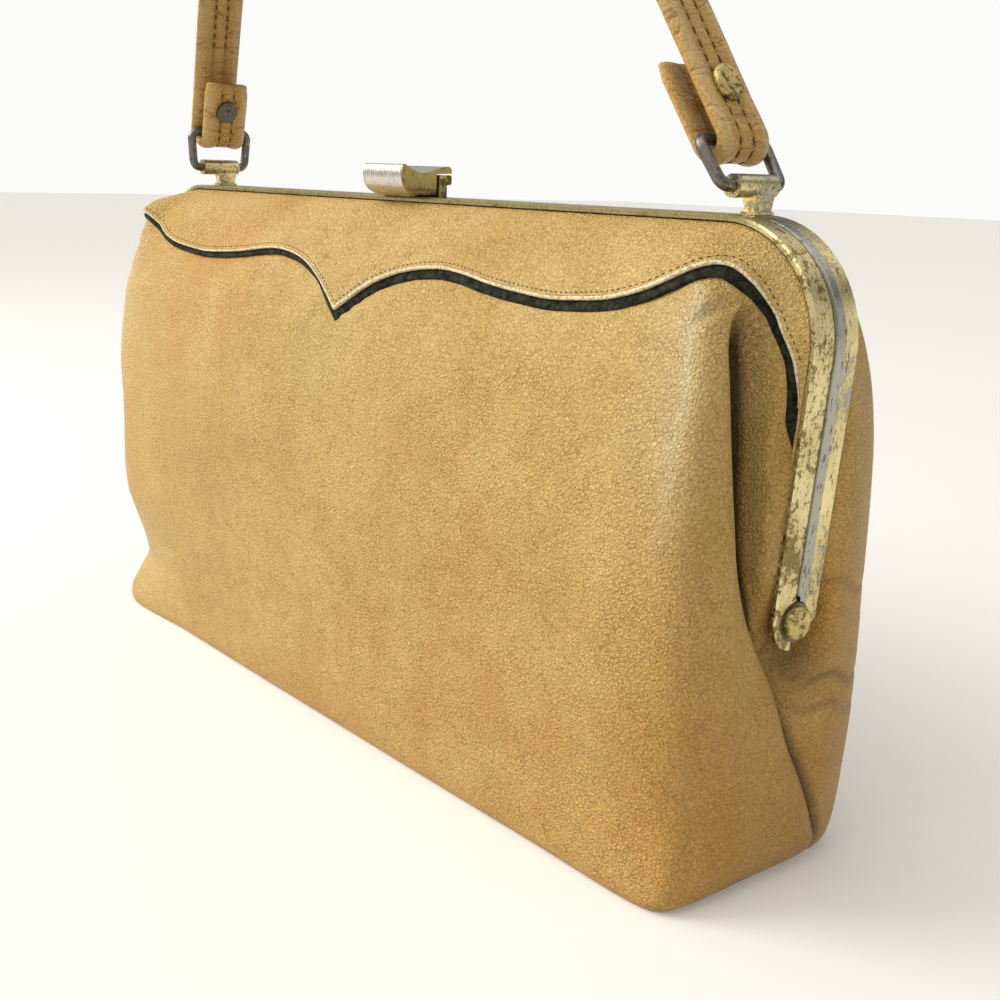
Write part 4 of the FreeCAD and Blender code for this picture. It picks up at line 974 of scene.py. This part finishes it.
def lining_section(z, depth, side):
    """Right half of one section of the lining: side is -1 for the front and 1 for the back."""
    deep = depth - LINING_GAP
    mouth = float(outline_x(max(z, HINGE)))
    rim = float(smooth(*RIM_HEIGHTS, z))
    end = LINING_END if z < CORNER_FROM_Z else min(LINING_END, mouth - CORNER_ROOM)
    end = end - END_ROUND * float(smooth(*END_ROUND_Z, z))
    low = [(end + x, y) for x, y in LOW_EDGE]
    high = [(mouth - x, y) for x, y in HIGH_EDGE]
    high[0] = (min(end + HIGH_REACH, high[0][0]), high[0][1])
    edge = [(a * (1 - rim) + c * rim, b * (1 - rim) + d * rim) for (a, b), (c, d) in zip(low, high)]
    shoulder = max(min(deep - SHOULDER_DROP, SHOULDER_SHARE * deep), SHOULDER_MIN)
    points = [(x, deep) for x in SIDE_X] + [(end - BEND_IN, max(deep - BEND_DROP, BEND_MIN))]
    points.append((end - ROUND_IN, shoulder * ROUND_SHARE + ROUND_LIFT))
    return [(x, side * y) for x, y in points + edge]


def lining(name, side, rows, nodes_replaced):
    """One half of the lining from pairs of height and depth, with a row that meets the other on the base."""
    used = [(max(z, LINING_FOOT), depth) for z, depth in rows if z == 0 or ROW_FROM <= z <= ROW_TO]
    sections = [lining_section(z, depth, side) for z, depth in used]
    heights = np.linspace(LINING_FOOT, LINING_TOP, LINING_ROWS)
    grid = skin([z for z, _ in used], sections, LINING_PIECES, heights)
    floor_row = grid[0].copy()
    floor_row[:, 1] = FLOOR_ROW_DEPTH * side
    floor_row[:, 0] = np.clip(floor_row[:, 0], -LINING_END_MAX, LINING_END_MAX)
    obj = sheet(name, np.concatenate([floor_row[None], grid]), cloth, flip=side > 0)
    thicken(obj, LINING_WALL)
    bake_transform(obj)
    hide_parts(*nodes_replaced)
    return obj


front_depths = [row[:2] for row in FRONT_ROWS]
front_depths += [(z, float(front_swell(0, z)) - TOP_ROW_ROOM) for z in SWELL_HEIGHTS[:TOP_ROWS]]
back_depths = [row[:2] for row in BACK_ROWS[:-2]]
front_lining = lining("front_lining_cloth", -1, front_depths, ("front_lining", "lower_lining"))
back_lining = lining("back_lining_cloth", 1, back_depths, ("back_lining",))
print("lining faces:", len(front_lining.data.polygons), len(back_lining.data.polygons))

# %% [markdown]
# ## Strap
# The strap is a folded and padded band. Each end goes round the upper bar of a ring and comes back up as
# a flap that a rivet holds. Its path is drawn in its own plane as a flap, a half turn, a straight run and
# an arch, and is then laid between the two bars and leaned forward.

# %% Path of the strap
BARREL_Y, BARREL_Z = 1.2, 156.0
RING_LENGTH, RING_WIRE, LOOP_GAP = 11.7, 2.75, 0.75
LEFT_LEAN, RIGHT_LEAN = math.radians(3), math.radians(-36)
STRAP_LEAN, STRAP_RUN, STRAP_FLAP = math.radians(29), 45.0, 19.5
STRAP_WIDTH, STRAP_DEPTH, STRAP_FORWARD, STRAP_DROP = 15.6, 3.0, 0.19, 2.6
FLAP_STEPS, LOOP_STEPS, RUN_STEPS, ARCH_STEPS = 17, 17, 34, 48
left_bar, right_bar = [np.array([side * CORNER_X + RING_LENGTH * math.sin(lean),
                                 BARREL_Z + RING_LENGTH * math.cos(lean)])
                       for side, lean in ((-1, LEFT_LEAN), (1, RIGHT_LEAN))]
half_chord = np.linalg.norm(right_bar - left_bar) / 2
bar_middle = (left_bar + right_bar) / 2
chord = (right_bar - left_bar) / (2 * half_chord)
loop = RING_WIRE / 2 + LOOP_GAP + STRAP_DEPTH / 2
up = np.array([-math.sin(STRAP_LEAN), math.cos(STRAP_LEAN)])
out = np.array([math.cos(STRAP_LEAN), math.sin(STRAP_LEAN)])
bar = np.array([half_chord, 0.0])
arch = (half_chord + loop * out[0] - STRAP_RUN * math.sin(STRAP_LEAN)) / math.cos(STRAP_LEAN)
arch_middle = np.array([0, (bar + out * loop + up * STRAP_RUN)[1] - arch * math.sin(STRAP_LEAN)])

# each step of half the path is its point and the way that its outer face looks
steps = [(bar - out * loop + up * t, -out) for t in np.linspace(STRAP_FLAP, 0, FLAP_STEPS)]
for a in np.linspace(math.pi, 0, LOOP_STEPS)[1:-1]:
    direction = out * math.cos(a) - up * math.sin(a)
    steps.append((bar + direction * loop, direction))
steps += [(bar + out * loop + up * t, out) for t in np.linspace(0, STRAP_RUN, RUN_STEPS)]
for a in np.linspace(STRAP_LEAN, math.pi / 2, ARCH_STEPS)[1:]:
    direction = np.array([math.cos(a), math.sin(a)])
    steps.append((arch_middle + direction * arch, direction))
path, face_out = [np.concatenate([half, half[-2::-1] * (-1, 1)]) for half in np.array(steps).swapaxes(0, 1)]


def on_strap(local, across):
    """Point of the strap's own plane, with a place across the strap, put on the bag."""
    x = bar_middle[0] + local[..., 0] * chord[0] - local[..., 1] * chord[1]
    z = bar_middle[1] + local[..., 0] * chord[1] + local[..., 1] * chord[0]
    y = BARREL_Y + across - STRAP_FORWARD * (z - bar_middle[1] + STRAP_DROP)
    return np.stack([x, y, z], axis=-1)


lengths = np.concatenate([[0], np.cumsum(np.linalg.norm(np.diff(path, axis=0), axis=1))])
print("strap length along its middle:", round(lengths[-1]), "mm")

# %% [markdown]
# A section swept along the path gives the band. Its rolled edges are full, and two rows of stitches pull
# a shallow groove along the middle, so the groove is part of the section. The inner face is flatter,
# because it has to pass the rings.

# %% Strap band
# across the strap and out of its face, as shares of half the width and half the depth
STRAP_SHARES = ((0.0, 0.9), (0.14, 0.92), (0.22, 0.84), (0.27, 0.76), (0.32, 0.84), (0.42, 1.02),
                (0.56, 1.16), (0.7, 1.24), (0.83, 1.12), (0.93, 0.78), (0.985, 0.36), (1.0, 0.0))
INNER_SHARE, GROOVE_SHARE, GROOVE_WIDTH_SHARE = 0.78, 0.27, 0.07
ROLL_HIGHLIGHT, ROLL_FROM, ROLL_TO = 0.5, (0.5, 0.75), (1.0, 0.9)
GROOVE_SHADE, INNER_SHADE, INNER_FACE = 0.3, 0.2, -0.2
END_EASE, END_WIDTH_SHARE, END_DEPTH_SHARE, CREASE_SHARE = (-0.5, 4.0), 0.93, 0.72, 0.35
half_section = np.array(STRAP_SHARES) * (STRAP_WIDTH / 2, STRAP_DEPTH / 2)
upper = mirrored(half_section)
section = np.concatenate([upper, upper[-2:0:-1] * (1, -INNER_SHARE)])
# quick creases that come and go along the strap, and a slow wave
crease = 0.22 * np.sin(lengths / 1.9) * np.sin(lengths / 5.3 + 1) * np.sin(lengths / 13.0 + 2)
crease = crease + 0.14 * np.sin(lengths / 4.3 + 0.7)
ease = np.minimum(smooth(*END_EASE, lengths), smooth(*END_EASE, lengths[-1] - lengths))
rings = []
for i in range(len(path)):
    across = section[:, 0] * (END_WIDTH_SHARE + (1 - END_WIDTH_SHARE) * ease[i])
    high = section[:, 1] * (END_DEPTH_SHARE + (1 - END_DEPTH_SHARE) * ease[i])
    high = high + crease[i] * np.clip(section[:, 1], 0, 1) * CREASE_SHARE
    rings.append(on_strap(path[i][None] + face_out[i][None] * high[:, None], across))
strap_uv = np.stack(np.broadcast_arrays(lengths[:, None], section[None, :, 0]), axis=-1)
strap_faces = tube_faces(len(path), len(section))
strap = mesh_object("handle_strap_leather", np.concatenate(rings), strap_faces, strap_hide,
                    strap_uv.reshape(-1, 2) * MM)
# Painted highlight along the rolled edges, in the pale rub tone, and painted shade down in the stitched
# grooves and on the inner face, which is turned away from the light.
edge_share = np.abs(section[:, 0]) / (STRAP_WIDTH / 2)
rolled_highlight = ROLL_HIGHLIGHT * smooth(*ROLL_FROM, edge_share) * smooth(*ROLL_TO, edge_share)
strap_shade = GROOVE_SHADE * np.exp(-(((edge_share - GROOVE_SHARE) / GROOVE_WIDTH_SHARE) ** 2))
strap_shade = strap_shade + INNER_SHADE * (section[:, 1] < INNER_FACE)
paint(strap, "rub_and_sheen", np.tile(rolled_highlight, len(path)))
paint(strap, "painted_shade", np.tile(np.clip(strap_shade, 0, 1), len(path)))
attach(strap, "handle")
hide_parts("handle_strap")
print("strap faces:", len(strap.data.polygons))

# %% [markdown]
# ## Thread
# The stitches repeat along a line, so a Geometry Nodes tree sets them: it divides a curve into even steps
# and puts one short, thick bead of thread on each. The pitch and length of a stitch and the thread's
# radius are named inputs, so the same tree sews the yoke and the strap.

# %% Thread material and stitch tree
# Waxed cotton: dark brown with a faint twist and a dull shine. The twist is coarser than a real one, to show.
thread, *_ = fibrous("waxed_cotton_thread", grit=0.4545, detail=2.0, tones=("#3E230C", "#6E451D"), matt=0.7)
BEAD_SIDES = 6
stitch_tree = bpy.data.node_groups.new("stitch_row", "GeometryNodeTree")
stitch_inputs = {}
for label, way, kind in (("Geometry", "INPUT", "Geometry"), ("Geometry", "OUTPUT", "Geometry"),
                         ("Stitch pitch", "INPUT", "Float"), ("Stitch length", "INPUT", "Float"),
                         ("Thread radius", "INPUT", "Float"), ("Thread", "INPUT", "Material")):
    socket = stitch_tree.interface.new_socket(label, in_out=way, socket_type="NodeSocket" + kind)
    stitch_inputs[label] = socket.identifier
given = add(stitch_tree, "NodeGroupInput").outputs
steps = add(stitch_tree, "GeometryNodeResampleCurve",
            {"Curve": given["Geometry"], "Length": given["Stitch pitch"]}, mode="LENGTH")
along_line = add(stitch_tree, "GeometryNodeInputTangent")
turn = add(stitch_tree, "FunctionNodeAlignRotationToVector", {"Vector": along_line}, axis="X")
bead = add(stitch_tree, "GeometryNodeMeshUVSphere",
           {"Segments": BEAD_SIDES, "Rings": BEAD_SIDES, "Radius": 1.0})
half_length = add(stitch_tree, "ShaderNodeMath", {0: given["Stitch length"], 1: 0.5}, operation="MULTIPLY")
size = add(stitch_tree, "ShaderNodeCombineXYZ", {0: half_length, 1: given["Thread radius"],
                                                 2: given["Thread radius"]})
placed = add(stitch_tree, "GeometryNodeInstanceOnPoints",
             {"Points": steps, "Instance": bead, "Rotation": turn, "Scale": size})
real = add(stitch_tree, "GeometryNodeRealizeInstances", {0: placed})
dyed = add(stitch_tree, "GeometryNodeSetMaterial", {"Geometry": real, "Material": given["Thread"]})
add(stitch_tree, "NodeGroupOutput", {"Geometry": dyed})
print("stitch tree:", len(stitch_tree.nodes), "nodes")

# %% [markdown]
# The yoke's stitches run just inside its cut edge, and the strap's run in its two grooves, on both faces.
# Each line is a curve that only guides the tree. Once the stitches are a plain mesh, the curve is
# removed.

# %% Stitches of the yoke and the strap
YOKE_STITCH_IN, YOKE_STITCH_POINT, YOKE_STITCH_LIFT, YOKE_STITCH_END = 1.05, 1.9, 0.06, 30
STRAP_STITCH_SHARE, OUTER_STITCH_END, INNER_STITCH_END = 0.84, 3, 54


def sew(name, lines, body, pitch, length, radius):
    """Stitches along one or more lines, as one plain mesh that rides on a body."""
    curve = bpy.data.curves.new(name + "_line", "CURVE")
    curve.dimensions = "3D"
    for line in lines:
        spline = curve.splines.new("POLY")
        spline.points.add(len(line) - 1)
        spline.points.foreach_set("co", np.c_[np.asarray(line) * MM, np.ones(len(line))].ravel())
    guide = bpy.data.objects.new(name + "_line", curve)
    bpy.context.collection.objects.link(guide)
    sewing = guide.modifiers.new("stitches", "NODES")
    sewing.node_group = stitch_tree
    for label, value in (("Stitch pitch", pitch), ("Stitch length", length), ("Thread radius", radius)):
        sewing[stitch_inputs[label]] = value * MM
    sewing[stitch_inputs["Thread"]] = thread
    bpy.context.view_layer.update()
    graph = bpy.context.evaluated_depsgraph_get()
    mesh = bpy.data.meshes.new_from_object(guide.evaluated_get(graph), depsgraph=graph)
    bpy.data.objects.remove(guide)
    mesh.polygons.foreach_set("use_smooth", [True] * len(mesh.polygons))
    obj = bpy.data.objects.new(name, mesh)
    bpy.context.collection.objects.link(obj)
    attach(obj, body)
    print(name, len(mesh.polygons), "faces")
    return obj


stitch_plan = free_line - line_normals(free_line) * YOKE_STITCH_IN
middle = len(stitch_plan) // 2
stitch_plan[middle] = free_line[middle] + (0, YOKE_STITCH_POINT)
yoke_line = on_swell(stitch_plan, YOKE_STITCH_LIFT)[YOKE_STITCH_END:-YOKE_STITCH_END]
yoke_stitches = sew("yoke_stitches", [yoke_line], "front_half", pitch=1.7, length=1.0, radius=0.14)
strap_lines = []
for side in (-1, 1):
    for face, end in ((1, OUTER_STITCH_END), (-1, INNER_STITCH_END)):
        line = path + face_out * face * STRAP_STITCH_SHARE * STRAP_DEPTH / 2
        groove = np.full(len(path), side * GROOVE_SHARE * STRAP_WIDTH / 2)
        strap_lines.append(on_strap(line, groove)[end:-end])
strap_stitches = sew("strap_stitches", strap_lines, "handle", pitch=3.2, length=2.0, radius=0.22)

# %% [markdown]
# ## Metal
# The frame is steel with a thin gold plate. The plate is scratched and pitted all over, chips have come
# off it along the edges, and on the back rail the rounded edge at the seam has worn through to grey
# metal. The clasp and the rings have lost most of their plate. One worn-plate material with a few
# settings makes all of these.

# %% Where the plate has worn off
FLAKE_SIZE, TARNISH_SIZE, RAG = 2.083, 14.29, 1.6
BAND_FADE_IN, BAND_FADE_OUT, GILT_FADE, TOP_FADE = 0.2, 0.25, 0.3, 2
SEAM_REACH, SEAM_FADE = 0.35, 0.75


def worn_share(tree, where, flakes, tarnish, chips, bare_band, gilt_ends, bare_top, bare_from):
    """Share of the plate that is gone: chips, a bare band in depth, ends that keep gilt, and a bare top."""
    patchy = add(tree, "ShaderNodeMath", {0: tarnish, 1: 0.5, 2: flakes}, operation="MULTIPLY_ADD")
    gone = add(tree, "ShaderNodeMapRange", {0: patchy, 1: 0.92 - 0.3 * chips, 2: 0.95 - 0.3 * chips})
    if bare_band:
        low, high = bare_band
        rag = add(tree, "ShaderNodeMath", {0: flakes, 1: RAG * MM, 2: where["Y"]}, operation="MULTIPLY_ADD")
        low = add(tree, "ShaderNodeMapRange", {0: rag, 1: low * MM, 2: (low + BAND_FADE_IN) * MM})
        high = add(tree, "ShaderNodeMapRange", {0: rag, 1: high * MM, 2: (high + BAND_FADE_OUT) * MM,
                                                3: 1.0, 4: 0.0})
        band = add(tree, "ShaderNodeMath", {0: low, 1: high}, operation="MULTIPLY")
        gone = add(tree, "ShaderNodeMath", {0: gone, 1: band}, operation="MAXIMUM")
    if gilt_ends:
        wide = add(tree, "ShaderNodeMath", {0: where["X"]}, operation="ABSOLUTE")
        kept = add(tree, "ShaderNodeMapRange", {0: wide, 1: (gilt_ends - GILT_FADE) * MM, 2: gilt_ends * MM,
                                                3: 1.0, 4: 0.1})
        gone = add(tree, "ShaderNodeMath", {0: gone, 1: kept}, operation="MULTIPLY")
    top = add(tree, "ShaderNodeMapRange", {0: where["Z"], 1: bare_from * MM, 2: (bare_from + TOP_FADE) * MM,
                                           4: bare_top})
    return add(tree, "ShaderNodeMath", {0: gone, 1: top}, operation="MAXIMUM")


def seam_shares(tree, where, strength):
    """Shares of the dark joint between the rails, and of the dull faces inside it that show when it opens."""
    depth = add(tree, "ShaderNodeMath", {0: where["Y"]}, operation="ABSOLUTE")
    near = add(tree, "ShaderNodeMapRange", {0: depth, 1: SEAM_REACH * MM, 2: SEAM_FADE * MM,
                                            3: strength, 4: 0.0})
    facing = add(tree, "ShaderNodeTexCoord").outputs["Normal"]
    facing = add(tree, "ShaderNodeSeparateXYZ", {0: facing}).outputs["Y"]
    facing = add(tree, "ShaderNodeMath", {0: facing}, operation="ABSOLUTE")
    outside = add(tree, "ShaderNodeMapRange", {0: facing, 1: 0.6, 2: 0.8, 3: 1.0, 4: 0.0})
    joint = add(tree, "ShaderNodeMath", {0: near, 1: outside}, operation="MULTIPLY")
    inside = add(tree, "ShaderNodeMath", {0: near, 1: joint}, operation="SUBTRACT")
    return joint, inside


print("flakes of plate:", FLAKE_SIZE, "mm")

# %% [markdown]
# The wear builds the colour in layers, as on the real metal: gold, tarnish, the metal below, then dirt in
# the pits and in the joint. Chips painted by hand would suit one view only, and a noise covers every side
# alike.

# %% Worn plate
PIT_DEPTH = 0.16


def worn_plate(name, gold, base, chips, pit, roughness, bare_band=None, bare_top=0.0, bare_from=147.4,
               seam=0.0, gilt_ends=None, streak=0.3):
    """Gold plate over a base metal: chips is how much plate is gone, pit the size of a pit in millimetres,
    and streak the share that draws the pits out in height."""
    material, tree, shader, place = new_material(name)
    flakes = add(tree, "ShaderNodeTexNoise", {"Vector": place, "Scale": per_metre(FLAKE_SIZE), "Detail": 8.0,
                                              "Roughness": 0.72})
    drawn = add(tree, "ShaderNodeMapping", {"Vector": place, "Scale": (1.0, 1.0, streak)})
    pits = add(tree, "ShaderNodeTexNoise", {"Vector": drawn, "Scale": per_metre(pit), "Detail": 4.0,
                                            "Roughness": 0.68})
    tarnish = add(tree, "ShaderNodeTexNoise", {"Vector": place, "Scale": per_metre(TARNISH_SIZE),
                                               "Detail": 4.0})
    where = add(tree, "ShaderNodeSeparateXYZ", {0: place}).outputs
    gone = worn_share(tree, where, flakes, tarnish, chips, bare_band, gilt_ends, bare_top, bare_from)
    dull = add(tree, "ShaderNodeMapRange", {0: tarnish, 1: 0.35, 2: 0.7, 4: 0.55})
    dirt = add(tree, "ShaderNodeMapRange", {0: pits, 1: 0.58, 2: 0.64, 4: 0.85})
    joint, inside = seam_shares(tree, where, seam)
    tone = linear(gold)
    for share, colour in ((dull, "#A98F52"), (gone, base), (dirt, "#4A3E22"), (joint, "#17140D"),
                          (inside, "#93804C")):
        tone = add(tree, "ShaderNodeMix", {0: share, 6: tone, 7: linear(colour)}, data_type="RGBA")
    rough = add(tree, "ShaderNodeMapRange", {0: pits, 1: 0.3, 2: 0.7,
                                             3: roughness - 0.06, 4: roughness + 0.2})
    rough = add(tree, "ShaderNodeMath", {0: inside, 1: 0.2, 2: rough}, operation="MULTIPLY_ADD")
    high = add(tree, "ShaderNodeMath", {0: gone, 1: -0.5, 2: pits}, operation="MULTIPLY_ADD")
    bump = add(tree, "ShaderNodeBump", {"Height": high, "Strength": 0.7, "Distance": PIT_DEPTH * MM})
    join(tree, shader, {"Base Color": tone, "Roughness": rough, "Normal": bump, "Metallic": 1.0})
    return material


# Front rail: pale gold that fine pits have dulled to brass. Back rail: larger chips, a bare grey seam edge.
front_plate = worn_plate("pitted_gold_plate", "#F2E3AC", "#93814F", chips=0.4, pit=0.5, roughness=0.25,
                         bare_top=0.8, seam=0.9)
back_plate = worn_plate("chipped_gold_plate", "#F2E2A8", "#B2AFA3", chips=0.3, pit=0.9, roughness=0.22,
                        bare_band=(0.8, 4.1), bare_top=0.6, seam=0.9)
# Clasp: grey metal, gilt only at its ends. Rings: dark wire. Posts: gold with rubbed barrels. Caps: brass.
clasp_plate = worn_plate("worn_clasp_plate", "#B9A45E", "#C9C5BC", chips=1.5, pit=0.7, roughness=0.28,
                         gilt_ends=9.25)
ring_plate = worn_plate("worn_ring_wire", "#B8A878", "#74716A", chips=1.05, pit=0.8, roughness=0.26)
post_plate = worn_plate("worn_gold_post", "#EEDDA2", "#A9A69A", chips=0.3, pit=1.1, roughness=0.2,
                        bare_top=0.85, bare_from=156.4, streak=1.0)
rivet_plate = worn_plate("speckled_brass_cap", "#D9C582", "#6F643C", chips=0.42, pit=0.5, roughness=0.28)
plates = (front_plate, back_plate, clasp_plate, ring_plate, post_plate, rivet_plate)
print("plates:", ", ".join(plate.name for plate in plates))

# %% [markdown]
# A CAD node keeps its mesh and only gets a material. The base board inside the bag is pressed fibre
# board, matt and brown. Left and right pieces share their finish.

# %% Finishes of the CAD nodes
# Fibre board: flat and dull, with soft brown flecks of pulp.
board, *_ = fibrous("pressed_fibre_board", grit=2.0, detail=5.0, tones=("#7A6A50", "#A08F70"), matt=0.9)
FINISHES = {
    "front_frame": front_plate, "back_frame": back_plate, "front_clasp_tab": clasp_plate,
    "back_clasp_nub": rivet_plate, "front_clasp_rivets": clasp_plate, "back_clasp_rivets": clasp_plate,
    "base_board": board,
}
PAIR_FINISHES = {
    "ring": ring_plate, "handle_post": post_plate, "hinge_rivet": rivet_plate, "hinge_washer": ring_plate,
    "strap_rivet_cap": rivet_plate, "strap_rivet_post": ring_plate,
}
for side in ("left", "right"):
    FINISHES.update({side + "_" + piece: plate for piece, plate in PAIR_FINISHES.items()})
for name, material in FINISHES.items():
    nodes[name].data.materials.clear()
    nodes[name].data.materials.append(material)
print("finished CAD nodes:", len(FINISHES))

# %% [markdown]
# ## Floor
# The floor is plain and pale. It is a little paler to the camera and to mirrors than to the light that
# bounces off it, so it stays pale without washing out the leather above it.

# %% Floor
# Matt paint: an even, pale ground with soft shadows.
FLOOR_REACH, FLOOR_DROP = 6000.0, 0.05
floor_paint, tree, shader, _ = new_material("pale_matt_floor")
tree.nodes.remove(shader)
ray = add(tree, "ShaderNodeLightPath").outputs
seen = add(tree, "ShaderNodeMath", {0: ray["Is Camera Ray"], 1: ray["Is Glossy Ray"]}, operation="MAXIMUM")
plain = add(tree, "ShaderNodeBsdfDiffuse", {"Color": linear("#F1EEE7")})
bounced = add(tree, "ShaderNodeBsdfDiffuse", {"Color": linear("#DAD5CB")})
glow = add(tree, "ShaderNodeEmission", {"Color": linear("#FFFDF8"), "Strength": 0.16})
lifted = add(tree, "ShaderNodeAddShader", {0: plain, 1: glow})
mixed = add(tree, "ShaderNodeMixShader", {0: seen, 1: bounced, 2: lifted})
join(tree, tree.nodes["Material Output"], {"Surface": mixed})
floor_corners = [(x * FLOOR_REACH, y * FLOOR_REACH, 0) for x, y in ((-1, -1), (1, -1), (1, 1), (-1, 1))]
floor = mesh_object("floor", floor_corners, [(0, 1, 2, 3)], floor_paint)
floor.location.z = -FLOOR_DROP * MM
print("floor:", 2 * FLOOR_REACH * MM, "m wide")

# %% [markdown]
# ## Light
# A broad lamp from the upper left lights the front like a window, and a soft sun stands for the ceiling.
# Shiny metal needs something to mirror, so the room that it sees has light and dark parts, and everything
# else gets an even level of light.

# %% Room and lamps
WINDOW_PLACE, WINDOW_AIM, WINDOW_WIDTH = Vector((-750, -850, 800)), Vector((0, 0, 80)), 700
SUN_TURN, SUN_SPREAD = (math.radians(32), math.radians(-18), 0), math.radians(80)
scene = bpy.context.scene
scene.world = bpy.data.worlds.new("soft_room")
scene.world.use_nodes = True
tree = scene.world.node_tree
ray = add(tree, "ShaderNodeLightPath").outputs
way = add(tree, "ShaderNodeNewGeometry").outputs["Incoming"]
things = add(tree, "ShaderNodeTexNoise", {"Vector": way, "Scale": 1.7, "Detail": 1.0})
things = add(tree, "ShaderNodeMapRange", {0: things, 1: 0.38, 2: 0.6, 3: 0.1, 4: 1.35})
level = add(tree, "ShaderNodeMix", {0: ray["Is Glossy Ray"], 2: 0.42, 3: things})
room = add(tree, "ShaderNodeBackground", {"Color": linear("#F4F2EE"), "Strength": level})
wall = add(tree, "ShaderNodeBackground", {"Color": linear("#FBFBF9"), "Strength": 1.0})
mixed = add(tree, "ShaderNodeMixShader", {0: ray["Is Camera Ray"], 1: room, 2: wall})
join(tree, tree.nodes["World Output"], {"Surface": mixed})


def hang_lamp(name, kind, place, turn, **settings):
    """A lamp of a kind with its settings, at a place in millimetres."""
    light = bpy.data.lights.new(name, kind)
    for key, value in settings.items():
        setattr(light, key, value)
    obj = bpy.data.objects.new(name, light)
    obj.location = Vector(place) * MM
    obj.rotation_euler = turn
    bpy.context.collection.objects.link(obj)


window_turn = (WINDOW_AIM - WINDOW_PLACE).to_track_quat("-Z", "Y").to_euler()
hang_lamp("window", "AREA", WINDOW_PLACE, window_turn, size=WINDOW_WIDTH * MM, energy=9.0)
hang_lamp("ceiling", "SUN", (0, 0, 0), SUN_TURN, energy=1.5, angle=SUN_SPREAD)
scene.view_settings.view_transform = "Standard"
print("lamps:", len(bpy.data.lights))

# %% [markdown]
# ## Camera
# The camera stands where the photograph was taken from. Its place, turn and lens come from fitting the
# frame's known outline to the picture, with the focal length first in pixels of the picture.

# %% Camera
YAW, PITCH, ROLL = math.radians(50.16), math.radians(13.99), math.radians(1.79)
CAMERA_PLACE = Vector((307.5, -222.94, 157.125))
FOCAL_PIXELS, PICTURE_PIXELS, SENSOR = 1312.9, 1000.0, 36.0
CLIP_START = 10
forward = Vector((-math.sin(YAW) * math.cos(PITCH), math.cos(YAW) * math.cos(PITCH), -math.sin(PITCH)))
right = Vector((math.cos(YAW), math.sin(YAW), 0))
upward = right.cross(forward)
rolled_right = right * math.cos(ROLL) + upward * math.sin(ROLL)
rolled_up = upward * math.cos(ROLL) - right * math.sin(ROLL)
lens = bpy.data.cameras.new("camera")
lens.sensor_fit = "HORIZONTAL"
lens.sensor_width = SENSOR
lens.lens = FOCAL_PIXELS * SENSOR / PICTURE_PIXELS
lens.clip_start = CLIP_START * MM
camera = bpy.data.objects.new("camera", lens)
stand = Matrix((rolled_right, rolled_up, -forward)).transposed().to_4x4()
stand.translation = CAMERA_PLACE * MM
camera.matrix_world = stand
bpy.context.collection.objects.link(camera)
scene.camera = camera
print("camera lens:", round(lens.lens, 2))

# %% [markdown]
# ## The end
# The scene is brought up to date once more.

# %% The end
bpy.context.view_layer.update()
